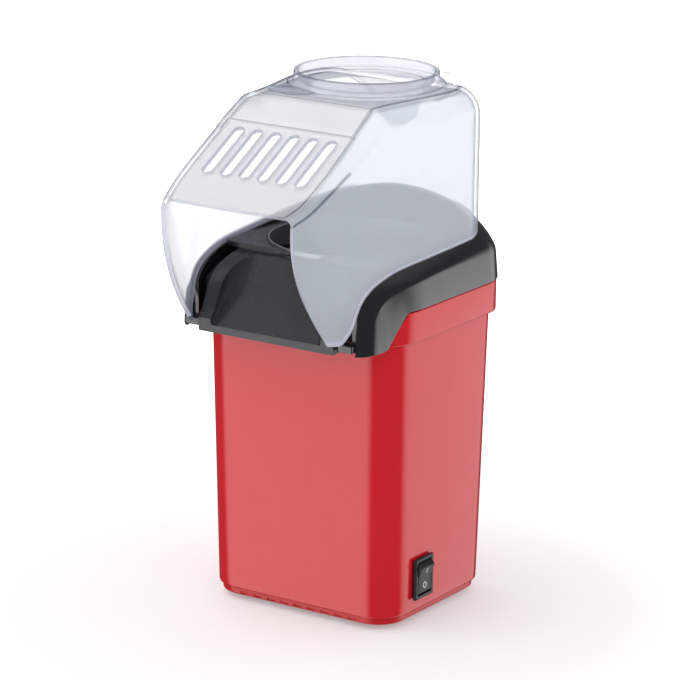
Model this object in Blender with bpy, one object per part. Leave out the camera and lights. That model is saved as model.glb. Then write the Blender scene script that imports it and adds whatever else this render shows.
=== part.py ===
"""Hot-air popcorn maker: a red tapered body on a plinth, a black collar and chute, a clear lift-off hood,
and the popping chamber, heater, fan, motor and switch inside.

Sizes below are millimetres in the body's own frame: X to the right, Y to the rear, Z up from the table,
with the popping chamber's axis at X = Y = 0. Meshes are made in metres. One empty carries every piece and
moves them in Y, so that the scene's origin is under the middle of the object's box.
"""

import math

import bmesh
import bpy
from mathutils import Matrix, Vector

MM = 0.001
GAP = 0.35  # clearance between pieces that touch

# Red body
WALL = 2.5
BODY_LOW_SIZE = (116.5, 100.0)
BODY_HIGH_SIZE = (121.0, 108.0)
BODY_CORNER = 18.0
BODY_BOTTOM_Z = 7.0
BAND_Z = 156.5
BAND_SIZE = (128.6, 114.6)
BODY_TOP_Z = 174.0
FRONT_CUT = ((-56.5, 156.0), (-42.5, 173.4))  # the body's top slopes down to the front through these (y, z)

# Plinth, feet and their screws
FOOT_HEIGHT = 2.7
PLINTH_BOTTOM_Z = 3.0
PLINTH_INSET = 2.0
FOOT_PLACE = (40.0, 31.0)
FOOT_RADIUS = 7.0
POST_PLACE = (24.0, 43.6)
POST_RADIUS = 4.4

# Collar
COLLAR_HALF = 65.0
COLLAR_FRONT = -76.8
COLLAR_REAR = 58.0
COLLAR_LOW_Z = 174.4
COLLAR_FRONT_LOW_Z = 156.6
COLLAR_SHOULDER_Z = 189.0
COLLAR_NARROWING = 5.4

# Hood
HOOD_HALF = 58.0
HOOD_REAR = 51.0
HOOD_CORNER = 26.0
HOOD_WALL = 2.4
LIP = (-114.2, 234.7)  # (y, z) of the mouth's top edge
TIP = (-80.0, 163.4)  # (y, z) of the mouth's lower corners
ROOF_FRONT = (-38.8, 277.0)  # (y, z) where the sloping roof meets the flat top
ROOF_INSET = (3.0, 8.0)  # how far the walls lean in to the roof, at the mouth and where the roof turns flat
MOUTH_INSET = (1.0, 5.8)  # the walls also draw in this much right at the mouth: at the roof, at the corner
MOUTH_BOW = 11.0  # how far the mouth's side edges bow forward of a straight line
CORNER_FORWARD = 6.6  # how far the blunt lower corners reach in front of the line
RIM_PROFILE = (
    (-81.0, 163.6), (-76.0, 171.0), (-71.0, 182.0), (-64.0, 188.5),
    (-52.0, 193.0), (-40.0, 195.3), (-14.0, 197.0), (25.0, 199.0),
)
REAR_ARCH = 17.0  # how far the rim climbs round the rear
REAR_ROUND = 13.0
RING_Y = 12.0
RING_RADIUS = 38.5
RING_WALL = 2.5
RING_HOLE_RADIUS = 31.0
TOTAL_HEIGHT = 285.0
VENT_COUNT = 6
VENT_PITCH = 11.4
VENT_WIDTH = 6.6
VENT_ENDS = (-93.5, -61.5)  # y of the vents' lower and upper ends

# Chute and popping chamber
CHUTE_HALF = 42.0
CHUTE_FRONT = -80.0
WING_HALF = 46.5
WING_DROP = 3.5
CHANNEL_HALF = 34.5
DECK_Z = 196.4
DECK_THICKNESS = 3.0
THROAT_RADIUS = 45.0
CHAMBER_RADIUS = 41.0
CHAMBER_TOP_Z = 175.4
CHAMBER_BOTTOM_Z = 98.0
SHIELD_RADIUS = 46.5
SHIELD_BOTTOM_Z = 62.0

# Fan and motor, all on the chamber's axis
SHAFT_RADIUS = 1.5
MOTOR_RADIUS = 15.5
MOTOR_Z = (16.0, 40.0)
HOUSING_Z = (42.5, 60.0)
HOUSING_RADIUS = 42.0
IMPELLER_RADIUS = 36.0
BLADE_COUNT = 10

# Switch on the right side
SWITCH_Y = -19.0
SWITCH_Z = 25.0
BEZEL_SIZE = (17.4, 22.6)
BEZEL_FRONT_X = 61.2
PIVOT_X = 57.0
ROCKER_RADIUS = 9.2
ROCKER_WIDTH = 12.6
ROCKER_TILT = math.radians(20.0)

SHIFT_Y = -(LIP[0] + COLLAR_REAR) / 2

COLOURS = {
    "red": ((0.62, 0.03, 0.04), 0.28, 0.0, 1.0),
    "black": ((0.035, 0.037, 0.04), 0.3, 0.0, 1.0),
    "clear": ((0.78, 0.86, 0.95), 0.06, 0.0, 0.4),
    "rubber": ((0.03, 0.03, 0.03), 0.8, 0.0, 1.0),
    "aluminium": ((0.78, 0.79, 0.8), 0.3, 1.0, 1.0),
    "steel": ((0.55, 0.56, 0.58), 0.35, 1.0, 1.0),
    "mica": ((0.62, 0.55, 0.42), 0.6, 0.0, 1.0),
    "wire": ((0.5, 0.45, 0.42), 0.4, 1.0, 1.0),
    "board": ((0.35, 0.24, 0.1), 0.6, 0.0, 1.0),
    "brass": ((0.75, 0.6, 0.3), 0.3, 1.0, 1.0),
    "white": ((0.75, 0.75, 0.72), 0.45, 0.0, 1.0),
    "lead_red": ((0.5, 0.03, 0.03), 0.5, 0.0, 1.0),
    "lead_blue": ((0.03, 0.08, 0.4), 0.5, 0.0, 1.0),
}


# ---------------------------------------------------------------- helpers


def clear_scene():
    for obj in list(bpy.data.objects):
        bpy.data.objects.remove(obj, do_unlink=True)


def material(slot):
    found = bpy.data.materials.get(slot)
    if found:
        return found
    colour, roughness, metallic, alpha = COLOURS[slot]
    made = bpy.data.materials.new(slot)
    made.use_nodes = True
    shader = made.node_tree.nodes["Principled BSDF"]
    shader.inputs["Base Color"].default_value = (*colour, 1.0)
    shader.inputs["Roughness"].default_value = roughness
    shader.inputs["Metallic"].default_value = metallic
    shader.inputs["Alpha"].default_value = alpha
    return made


def frame():
    """The empty that every piece hangs from."""
    found = bpy.data.objects.get("popper_frame")
    if found is None:
        found = bpy.data.objects.new("popper_frame", None)
        found.location = (0, SHIFT_Y * MM, 0)
        bpy.context.scene.collection.objects.link(found)
    return found


def place(name, mesh_data, slot, origin=(0, 0, 0), smooth=True):
    """Puts a bmesh, in millimetres of the body's frame, into the scene as one object with its own origin."""
    bmesh.ops.remove_doubles(mesh_data, verts=mesh_data.verts, dist=1e-5)
    bmesh.ops.recalc_face_normals(mesh_data, faces=mesh_data.faces)
    bmesh.ops.transform(
        mesh_data, matrix=Matrix.Scale(MM, 4) @ Matrix.Translation(-Vector(origin)), verts=mesh_data.verts
    )
    mesh = bpy.data.meshes.new(name)
    mesh_data.to_mesh(mesh)
    mesh_data.free()
    mesh.materials.append(material(slot))
    if smooth:
        mesh.shade_smooth()
        mesh.set_sharp_from_angle(angle=math.radians(35))
    obj = bpy.data.objects.new(name, mesh)
    bpy.context.scene.collection.objects.link(obj)
    obj.parent = frame()
    obj.location = Vector(origin) * MM
    return obj


def helper(mesh_data, name="helper"):
    """A cutter or an added shape that isn't a piece of its own."""
    obj = place(name, mesh_data, "steel", smooth=False)
    obj.hide_render = True
    obj.display_type = "WIRE"
    return obj


def combine(obj, other, operation):
    step = obj.modifiers.new(operation.title(), "BOOLEAN")
    step.operation = operation
    step.object = other
    step.solver = "EXACT"


def cut(obj, *shapes):
    for shape in shapes:
        combine(obj, helper(shape, obj.name + "_cutter"), "DIFFERENCE")


def join(obj, *shapes):
    for shape in shapes:
        combine(obj, helper(shape, obj.name + "_addition"), "UNION")


def skin(loops, ring=False):
    """A bmesh through loops of equal length: closed by two end caps, or back to the first loop."""
    made = bmesh.new()
    rows = [[made.verts.new(point) for point in loop] for loop in loops]
    pairs = list(zip(rows, rows[1:]))
    if ring:
        pairs.append((rows[-1], rows[0]))
    for low, high in pairs:
        for i in range(len(low)):
            j = (i + 1) % len(low)
            made.faces.new((low[i], low[j], high[j], high[i]))
    if not ring:
        made.faces.new(rows[0][::-1])
        made.faces.new(rows[-1])
    return made


def rounded_rectangle(size, radius, z, centre=(0, 0), arc_steps=5):
    """Points of a rounded rectangle, anticlockwise seen from above."""
    points = []
    for quarter in range(4):
        turn = quarter * math.pi / 2
        side_x = 1 if quarter in (0, 3) else -1
        side_y = 1 if quarter in (0, 1) else -1
        cx = centre[0] + side_x * (size[0] / 2 - radius)
        cy = centre[1] + side_y * (size[1] / 2 - radius)
        for step in range(arc_steps + 1):
            angle = turn + step * math.pi / 2 / arc_steps
            points.append((cx + radius * math.cos(angle), cy + radius * math.sin(angle), z))
    return points


def circle(radius, z, centre=(0, 0), segments=40):
    return [
        (centre[0] + radius * math.cos(a), centre[1] + radius * math.sin(a), z)
        for a in (2 * math.pi * i / segments for i in range(segments))
    ]


def turned(profile, centre=(0, 0), segments=40, ring=True):
    """A turned shape from (radius, z) points: a closed ring, or a solid with end caps."""
    return skin([circle(r, z, centre, segments) for r, z in profile], ring)


def rod(radius, low, high, segments=16):
    """A round bar between two points."""
    low, high = Vector(low), Vector(high)
    made = turned(((radius, 0.0), (radius, (high - low).length)), segments=segments, ring=False)
    turn = (high - low).to_track_quat("Z", "Y").to_matrix().to_4x4()
    bmesh.ops.transform(made, matrix=Matrix.Translation(low) @ turn, verts=made.verts)
    return made


def box(low, high):
    low, high = Vector(low), Vector(high)
    made = bmesh.new()
    bmesh.ops.create_cube(made, size=1.0)
    size = high - low
    spread = Matrix.Diagonal((*size, 1.0))
    bmesh.ops.transform(made, matrix=Matrix.Translation((low + high) / 2) @ spread, verts=made.verts)
    return made


def prism(outline, low_x, high_x):
    """A (y, z) outline drawn out along X."""
    return skin([[(x, y, z) for y, z in outline] for x in (low_x, high_x)])


def side_prism(outline, low_y, high_y):
    """An (x, z) outline drawn out along Y."""
    return skin([[(x, y, z) for x, z in outline] for y in (low_y, high_y)])


def sides(values):
    """Every combination of left and right, front and rear, with a name."""
    for x_name, x_sign in (("left", -1), ("right", 1)):
        for y_name, y_sign in (("front", -1), ("rear", 1)):
            yield f"{y_name}_{x_name}", x_sign * values[0], y_sign * values[1]


def smooth_through(points, at):
    """A smooth curve's height at a place, through points that climb in their first value."""
    if at <= points[0][0]:
        return points[0][1]
    if at >= points[-1][0]:
        return points[-1][1]
    slopes = []
    for i in range(len(points)):
        before, after = points[max(i - 1, 0)], points[min(i + 1, len(points) - 1)]
        slopes.append((after[1] - before[1]) / (after[0] - before[0]))
    i = max(k for k in range(len(points) - 1) if points[k][0] <= at)
    span = points[i + 1][0] - points[i][0]
    t = (at - points[i][0]) / span
    return (
        (2 * t**3 - 3 * t**2 + 1) * points[i][1]
        + (t**3 - 2 * t**2 + t) * span * slopes[i]
        + (3 * t**2 - 2 * t**3) * points[i + 1][1]
        + (t**3 - t**2) * span * slopes[i + 1]
    )


# ---------------------------------------------------------------- the lines that hood and collar share

CORNER_X = HOOD_HALF - HOOD_CORNER
CORNER_Y = HOOD_REAR - HOOD_CORNER


def mouth_y(z):
    return LIP[0] + (LIP[1] - z) * (TIP[0] - LIP[0]) / (LIP[1] - TIP[1])


def hood_half_width(y, behind_mouth=60.0):
    """Half the hood's outer width at y. It narrows to the front, and a little more right behind the mouth."""
    if y >= CORNER_Y:
        return CORNER_X + math.sqrt(max(HOOD_CORNER**2 - (y - CORNER_Y) ** 2, 0.0))
    narrowing = 11.0 * ((CORNER_Y - y) / (CORNER_Y - LIP[0])) ** 2
    return HOOD_HALF - narrowing - 2.2 * math.exp(-max(behind_mouth, 0.0) / 10.0)


def rim_height(x, y):
    """The height of the line where the hood meets the collar."""
    if y <= CORNER_Y:
        return smooth_through(RIM_PROFILE, max(y, RIM_PROFILE[0][0]))
    arc = HOOD_CORNER * math.pi / 2
    if abs(x) <= CORNER_X:
        along = arc + CORNER_X - abs(x)
    else:
        along = HOOD_CORNER * math.atan2(y - CORNER_Y, abs(x) - CORNER_X)
    share = math.sin(math.pi / 2 * along / (arc + CORNER_X)) ** 1.5
    return RIM_PROFILE[-1][1] + REAR_ARCH * share


def half_outline(rear, corner, radius, side, front, front_corner, front_radius):
    """Plan points of the right half, from the middle of the rear round to the middle of the front."""
    points = [(corner[0] * i / 4, rear) for i in range(4)]
    for i in range(8):
        angle = math.pi / 2 * (1 - i / 7)
        points.append((corner[0] + radius * math.cos(angle), corner[1] + radius * math.sin(angle)))
    low = front_corner[1]
    for i in range(1, 31):
        y = corner[1] + (low - corner[1]) * i / 30
        points.append((side(y), y))
    for i in range(1, 5):
        angle = -math.pi / 2 * i / 4
        points.append(
            (front_corner[0] + front_radius * math.cos(angle), low + front_radius * math.sin(angle))
        )
    points += [(front_corner[0] * (1 - i / 3), front) for i in range(1, 4)]
    return points


def collar_side(y):
    t = min(max((-30.0 - y) / 32.0, 0.0), 1.0)
    return COLLAR_HALF - COLLAR_NARROWING * t * t * (3 - 2 * t)


def collar_outer():
    radius = 12.3
    corner = (COLLAR_HALF - COLLAR_NARROWING - radius, COLLAR_FRONT + radius)
    return half_outline(COLLAR_REAR, (43.0, 36.0), 22.0, collar_side, COLLAR_FRONT, corner, radius)


def rim_outline(outwards):
    """The hood's outer plan line above the collar, moved outwards."""

    def side(y):
        return hood_half_width(y, y - mouth_y(smooth_through(RIM_PROFILE, y))) + outwards

    radius = HOOD_CORNER + outwards
    end = 3.0
    return half_outline(
        HOOD_REAR + outwards, (CORNER_X, CORNER_Y), radius, side,
        COLLAR_FRONT + 0.5, (side(COLLAR_FRONT + 3.5) - end, COLLAR_FRONT + 3.5), end,
    )


def mirrored(half, heights):
    """A full loop from the right half's plan points and their heights."""
    right = [(x, y, z) for (x, y), z in zip(half, heights)]
    left = [(-x, y, z) for x, y, z in right[-2:0:-1]]
    return right + left


# ---------------------------------------------------------------- body and base


def body_section(z, shrink=0.0):
    share = (z - BODY_BOTTOM_Z) / (BAND_Z - BODY_BOTTOM_Z)
    size = [
        low + (high - low) * share - 2 * shrink for low, high in zip(BODY_LOW_SIZE, BODY_HIGH_SIZE)
    ]
    return rounded_rectangle(size, BODY_CORNER - shrink, z)


def front_slope(z):
    (y0, z0), (y1, z1) = FRONT_CUT
    return y0 + (z - z0) * (y1 - y0) / (z1 - z0)


def make_body():
    low, top = BODY_BOTTOM_Z, BODY_TOP_Z
    body = place(
        "body_shell",
        skin(
            [
                body_section(low, 1.0), body_section(low + 1.2), body_section(top),
                body_section(top, WALL), body_section(low, WALL),
            ],
            ring=True,
        ),
        "red",
    )
    join(
        body,
        skin(
            [
                rounded_rectangle([s - 1.6 for s in BAND_SIZE], 20.4, BAND_Z + 0.7),
                rounded_rectangle(BAND_SIZE, 21.2, BAND_Z + 1.8),
                rounded_rectangle(BAND_SIZE, 21.2, top),
                body_section(top, 1.2), body_section(BAND_Z + 0.7, 1.2),
            ],
            ring=True,
        ),
    )
    high = top + 6
    cut(
        body,
        prism(
            [(front_slope(140.0), 140.0), (front_slope(high), high), (-90.0, high), (-90.0, 140.0)],
            -80, 80,
        ),
        box((50, SWITCH_Y - 7.4, SWITCH_Z - 10.2), (70, SWITCH_Y + 7.4, SWITCH_Z + 10.2)),
        rod(5.4, (0, 40, 22), (0, 60, 22)),
    )
    for _, x, y in sides(POST_PLACE):
        join(body, turned(((POST_RADIUS, 13.6), (POST_RADIUS, 30.0)), (x, y), 16, ring=False))
        cut(body, turned(((1.75, 10.0), (1.75, 27.0)), (x, y), 12, ring=False))


def make_base():
    bottom = PLINTH_BOTTOM_Z
    top = BODY_BOTTOM_Z - GAP
    lip = WALL + GAP
    base = place(
        "base_plate",
        skin(
            [
                body_section(bottom, PLINTH_INSET + 0.8), body_section(bottom + 0.8, PLINTH_INSET),
                body_section(top, PLINTH_INSET), body_section(top, lip), body_section(13.0, lip),
                body_section(13.0, lip + 1.8), body_section(bottom + 2.5, lip + 1.8),
            ]
        ),
        "red",
    )
    for i in range(7):
        x = (i - 3) * 7.0
        cut(base, box((x - 1.5, -13, 0), (x + 1.5, 13, 9)))
    for _, x, y in sides(POST_PLACE):
        cut(base, turned(((1.75, 0.0), (1.75, 14.0)), (x, y), 12, ring=False))
        cut(base, turned(((3.5, 0.0), (3.5, 4.6)), (x, y), 16, ring=False))
    for name, x, y in sides(FOOT_PLACE):
        profile = (
            (FOOT_RADIUS - 0.8, 0.0), (FOOT_RADIUS, 0.8), (FOOT_RADIUS, FOOT_HEIGHT),
        )
        place(f"foot_{name}", turned(profile, (x, y), 24, ring=False), "rubber", (x, y, 0))
    for name, x, y in sides(POST_PLACE):
        profile = ((3.0, 3.1), (3.0, 4.3), (1.4, 4.3), (1.4, 22.0))
        place(f"base_screw_{name}", turned(profile, (x, y), 12, ring=False), "steel", (x, y, 3.1))


# ---------------------------------------------------------------- collar and chute


def collar_low(y):
    (y0, z0), (y1, z1) = FRONT_CUT
    slope = z0 + 1.6 + (y - y0) * (z1 - z0) / (y1 - y0)
    return min(max(slope, COLLAR_FRONT_LOW_Z), COLLAR_LOW_Z)


def make_collar():
    outer, rim = collar_outer(), rim_outline(0.45)
    inner = rim_outline(-HOOD_WALL - GAP)
    ledge = rim_outline(-HOOD_WALL - GAP - 1.4)
    rims = [rim_height(x, y) for x, y in rim]
    lows = [collar_low(y) for _, y in outer]
    starts = []
    for (_, y), low, top in zip(outer, lows, rims):
        start = rim_height(0, y - 4.0) - 8.0 if y < CORNER_Y else COLLAR_SHOULDER_Z
        starts.append(min(max(min(start, COLLAR_SHOULDER_Z), low + 1.0), top - 2.0))

    skirts = []
    for (_, y), low, top in zip(outer, lows, rims):
        share = min(max((-30.0 - y) / 15.0, 0.0), 1.0)
        skirts.append(max(low + 1.0, top - 12.0 - 26.0 * share))

    def between(share):
        plan = [
            (ox + (rx - ox) * share, oy + (ry - oy) * share) for (ox, oy), (rx, ry) in zip(outer, rim)
        ]
        rise = (math.sqrt(1 - (1 - share) ** 2) + share) / 2
        return mirrored(plan, [s + (z - s) * rise for s, z in zip(starts, rims)])

    collar = place(
        "collar",
        skin(
            [
                mirrored(outer, lows),
                between(0.0), between(0.12), between(0.35), between(0.65), between(1.0),
                mirrored(rim, [z - 2.1 for z in rims]),
                mirrored(inner, [z - 2.1 for z in rims]),
                mirrored(inner, [z - 0.4 for z in rims]),
                mirrored(ledge, [z - 0.4 for z in rims]),
                mirrored(ledge, skirts),
            ],
            ring=True,
        ),
        "black",
    )
    cut(
        collar,
        box((-52.6, -95, 140), (52.6, -71.5, 230)),
        box((-CHUTE_HALF - GAP, -95, 140), (CHUTE_HALF + GAP, -40, 230)),
    )
    for name, side in (("left", -1), ("right", 1)):
        ends = sorted((side * 43.0, side * 52.2))
        place(
            f"hood_clip_{name}",
            box((ends[0], -78.2, 158.6), (ends[1], -71.9, 162.6)),
            "black",
            smooth=False,
        )


def chute_wall_top(y):
    return min(smooth_through(RIM_PROFILE, y), DECK_Z + 1.2) - 1.2


def make_chute():
    front, back = CHUTE_FRONT, -26.0
    top_line = [(y, chute_wall_top(y)) for y in (back, -40.0, -52.0, -60.0, -67.0, -72.0, -76.0, front)]
    chute = place(
        "chute",
        prism([(front, 156.9), (-57.5, 157.6), (-48.5, 176.0), (-34.0, 186.0), (back, 190.0)] + top_line,
              -CHUTE_HALF, CHUTE_HALF),
        "black",
    )
    wing = [(y, chute_wall_top(y) - WING_DROP) for y in (back, -40.0, -52.0, -60.0, -67.0)]
    wing_low = [(-68.0, 162.0), (-57.5, 164.0), (-48.5, 176.0), (-34.0, 186.0), (back, 190.0)]
    join(chute, prism(wing_low + wing, -WING_HALF, WING_HALF))
    inside = rim_outline(-HOOD_WALL - GAP - 1.4 - GAP)
    deck = [(x, max(y, -44.0)) for x, y in inside]
    kept = [p for i, p in enumerate(deck) if p[1] > -44.0] + [(CHUTE_HALF - 2, -44.0), (0.0, -44.0)]
    low = DECK_Z - DECK_THICKNESS
    join(chute, skin([mirrored(kept, [z] * len(kept)) for z in (low, DECK_Z)]))
    join(chute, turned(((THROAT_RADIUS + 2, low + 1), (THROAT_RADIUS + 0.5, CHAMBER_TOP_Z + 1)),
                       segments=48, ring=False))
    rise = (DECK_Z - 161.0) / (THROAT_RADIUS + front)
    floor = [(y, 161.0 - (y - front) * rise) for y in (front - 10, -THROAT_RADIUS)]
    cut(
        chute,
        prism(floor + [(-20.0, DECK_Z + 0.01), (-20.0, 240.0), (front - 10, 240.0)],
              -CHANNEL_HALF, CHANNEL_HALF),
        turned(
            (
                (THROAT_RADIUS - 1.8, CHAMBER_TOP_Z - 20), (THROAT_RADIUS - 1.8, CHAMBER_TOP_Z + 4),
                (THROAT_RADIUS, 185.0), (THROAT_RADIUS, DECK_Z + 20),
            ),
            segments=48, ring=False,
        ),
    )
    place(
        "throat_ring",
        turned(
            (
                (THROAT_RADIUS - 0.2 - GAP, 186.0), (THROAT_RADIUS - GAP, DECK_Z + 0.8),
                (THROAT_RADIUS - 1.2 - GAP, DECK_Z + 0.8), (THROAT_RADIUS - 1.4 - GAP, 186.0),
            ),
            segments=48,
        ),
        "aluminium",
    )


# ---------------------------------------------------------------- hood


def roof_height(y):
    (y0, z0), (y1, z1) = LIP, ROOF_FRONT
    if y <= y1:
        return z0 + (y - y0) * (z1 - z0) / (y1 - y0)
    drop_from = HOOD_REAR - REAR_ROUND
    if y <= drop_from:
        return z1
    return z1 - REAR_ROUND + math.sqrt(max(REAR_ROUND**2 - (y - drop_from) ** 2, 0.0))


def hood_stations():
    """y of each cross-section's top: even along the roof, closer round the rear corner."""
    stations = [LIP[0] + (ROOF_FRONT[0] - LIP[0]) * i / 8 for i in range(9)]
    stations += [ROOF_FRONT[0] + (CORNER_Y - ROOF_FRONT[0]) * i / 5 for i in range(1, 6)]
    stations += [CORNER_Y + HOOD_CORNER * math.sin(math.pi / 2 * i / 8) for i in range(1, 9)]
    return stations


def roof_inset(station):
    share = min(max((station - LIP[0]) / (ROOF_FRONT[0] - LIP[0]), 0.0), 1.0)
    back = min(max((station - ROOF_FRONT[0]) / (CORNER_Y - ROOF_FRONT[0]), 0.0), 1.0)
    inset = ROOF_INSET[0] + (ROOF_INSET[1] - ROOF_INSET[0]) * share
    return inset * (1 - back * back * (3 - 2 * back))


def wall_inset(station, y, z, top):
    """How far the wall stands in from the rim's width: more towards the roof, and more at the mouth."""
    rim = smooth_through(RIM_PROFILE, min(max(y, RIM_PROFILE[0][0]), CORNER_Y)) + 6.0
    height = min(max((z - rim) / (top - rim), 0.0), 1.0)
    down = min(max((top - z) / (LIP[1] - TIP[1]), 0.0), 1.0)
    at_mouth = MOUTH_INSET[0] + (MOUTH_INSET[1] - MOUTH_INSET[0]) * down
    at_mouth *= math.exp((LIP[0] - station) / 5.0)
    return roof_inset(station) * height**1.2 + at_mouth


def hood_section(station):
    """Points of one cross-section, from the left lower edge over the roof to the right lower edge."""
    top = roof_height(station)
    fade = max(1.0 - (station - LIP[0]) / 75.0, 0.0)
    lean = fade * (TIP[0] - LIP[0]) / (LIP[1] - TIP[1])
    share = min(max((station - LIP[0]) / 110.0, 0.0), 1.0)
    radius = 6.0 + 8.0 * share * share * (3 - 2 * share)
    radius = min(radius, REAR_ROUND + 1e-3 + (HOOD_REAR - station))

    def side_point(z, inwards=0.0, drop=0.0):
        down = min(max((top - z) / (LIP[1] - TIP[1]), 0.0), 1.0)
        bow = (MOUTH_BOW * 4 * down * (1 - down) + CORNER_FORWARD * down**2) * fade
        y = min(station + lean * (top - z) - bow, HOOD_REAR)
        inset = inwards + wall_inset(station, y, z, top)
        return (hood_half_width(y, y - mouth_y(z)) - inset, y, z - drop)

    half = []
    for i in range(5):
        angle = math.pi / 2 * i / 4
        z = top - radius * (1 - math.sin(angle))
        half.append(side_point(z, radius * (1 - math.cos(angle))))
    low = top - radius
    below, above = 150.0, 225.0
    for _ in range(40):
        wall_low = (below + above) / 2
        x, y, _z = side_point(wall_low)
        if wall_low < rim_height(x, y) - 1.2 + 0.6 * min(max((-62.0 - y) / 6.0, 0.0), 1.0):
            below = wall_low
        else:
            above = wall_low
    wall = [side_point(wall_low + (low - wall_low) * i / 5) for i in range(5)]
    right = wall + half
    inner_x = right[-1][0]
    crown = [(inner_x * (1 - i / 3), right[-1][1], top) for i in range(1, 4)]
    right += crown
    left = [(-x, y, z) for x, y, z in right[:-1]]
    return left + right[::-1]


def make_hood():
    made = bmesh.new()
    rows = [[made.verts.new(p) for p in hood_section(s)] for s in hood_stations()]
    for front, back in zip(rows, rows[1:]):
        for i in range(len(front) - 1):
            made.faces.new((front[i], front[i + 1], back[i + 1], back[i]))
    last = rows[-1]
    made.faces.new(last[::-1])
    hood = place("hood", made, "clear", smooth=True)
    if sum(face.normal.dot(face.center) for face in hood.data.polygons) < 0:
        hood.data.flip_normals()
    shell = hood.modifiers.new("Wall", "SOLIDIFY")
    shell.thickness = HOOD_WALL * MM
    shell.offset = -1.0
    shell.use_even_offset = True
    arch = [(x, rim_height(x, HOOD_REAR) - 1.2) for x in (CORNER_X * (i / 6 - 1) for i in range(13))]
    ends = [(CORNER_X - 0.05, 150.0), (0.05 - CORNER_X, 150.0)]
    cut(hood, side_prism(arch + ends, HOOD_REAR - 6, HOOD_REAR + 6))
    at = (0, RING_Y)
    top = ROOF_FRONT[1]
    cut(hood, turned(((RING_HOLE_RADIUS, top - 12), (RING_HOLE_RADIUS, top + 20)), at, 48, ring=False))
    inner = RING_RADIUS - RING_WALL
    join(
        hood,
        turned(
            ((RING_RADIUS, top - 1.2), (RING_RADIUS, TOTAL_HEIGHT), (inner, TOTAL_HEIGHT), (inner, top - 1.2)),
            at, 48,
        ),
    )
    slope = math.atan2(ROOF_FRONT[1] - LIP[1], ROOF_FRONT[0] - LIP[0])
    middle = sum(VENT_ENDS) / 2
    half_length = (VENT_ENDS[1] - VENT_ENDS[0]) / 2 / math.cos(slope)
    for i in range(VENT_COUNT):
        x = (i - (VENT_COUNT - 1) / 2) * VENT_PITCH
        outline = rounded_rectangle((VENT_WIDTH, 2 * half_length), 2.6, 0.0, arc_steps=3)
        shape = skin([[(px, py, z) for px, py, _z in outline] for z in (-8.0, 8.0)])
        spot = Matrix.Translation((x, middle, roof_height(middle))) @ Matrix.Rotation(slope, 4, "X")
        bmesh.ops.transform(shape, matrix=spot, verts=shape.verts)
        cut(hood, shape)


# ---------------------------------------------------------------- chamber, heater, fan and motor


def make_chamber():
    r, top, low = CHAMBER_RADIUS, CHAMBER_TOP_Z, CHAMBER_BOTTOM_Z
    chamber = place(
        "popping_chamber",
        turned(
            (
                (r + 4.5, top), (r + 4.5, top - 1), (r + 1, top - 1), (r + 1, low + 8), (r - 8, low),
                (0.6, low), (0.6, low + 1), (r - 8.4, low + 1), (r, low + 8.4), (r, top),
            )
        ),
        "aluminium",
    )
    slots = 10
    for i in range(slots):
        turn = Matrix.Rotation(2 * math.pi * i / slots, 4, "Z")
        slot = box((r - 5, -1.6, low + 11), (r + 4, 1.6, low + 25))
        bmesh.ops.transform(slot, matrix=turn @ Matrix.Translation((0, 0, 0)), verts=slot.verts)
        cut(chamber, slot)
    outer = SHIELD_RADIUS
    place(
        "heat_shield",
        turned(
            (
                (outer, SHIELD_BOTTOM_Z), (outer, top - 1 - GAP), (outer - 1, top - 1 - GAP),
                (outer - 1, SHIELD_BOTTOM_Z),
            )
        ),
        "steel",
    )


def make_heater():
    low, high, reach = 68.0, 92.0, 30.0
    frame_piece = place("heater_frame", box((-reach, -0.6, low), (reach, 0.6, high)), "mica", smooth=False)
    join(frame_piece, box((-0.6, -reach, low), (0.6, reach, high)))
    join(
        frame_piece,
        turned(((reach + 14.5, low - 2), (reach + 14.5, low), (reach - 2, low), (reach - 2, low - 2)), segments=32),
    )
    join(frame_piece, box((-reach, -0.6, low - 1), (reach, 0.6, low + 4)))
    turns, radius, wire, steps = 5, reach + 2.2, 0.8, 20
    path = []
    for i in range(turns * steps + 1):
        angle = 2 * math.pi * i / steps
        path.append((radius * math.cos(angle), radius * math.sin(angle), low + 2.6 + 18.0 * i / (turns * steps)))
    curve = bpy.data.curves.new("heater_coil", "CURVE")
    curve.dimensions = "3D"
    curve.bevel_depth = wire * MM
    curve.bevel_resolution = 0
    curve.use_fill_caps = True
    line = curve.splines.new("POLY")
    line.points.add(len(path) - 1)
    for point, spot in zip(line.points, path):
        point.co = (*(Vector(spot) * MM), 1.0)
    curve.materials.append(material("wire"))
    coil = bpy.data.objects.new("heater_coil", curve)
    bpy.context.scene.collection.objects.link(coil)
    coil.parent = frame()
    place("thermostat", box((36.4, -6, 76), (44.6, 6, 84)), "white", smooth=False)
    place("thermal_fuse", rod(1.8, (-40.0, -8, 80), (-40.0, 8, 80), 12), "steel")


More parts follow.
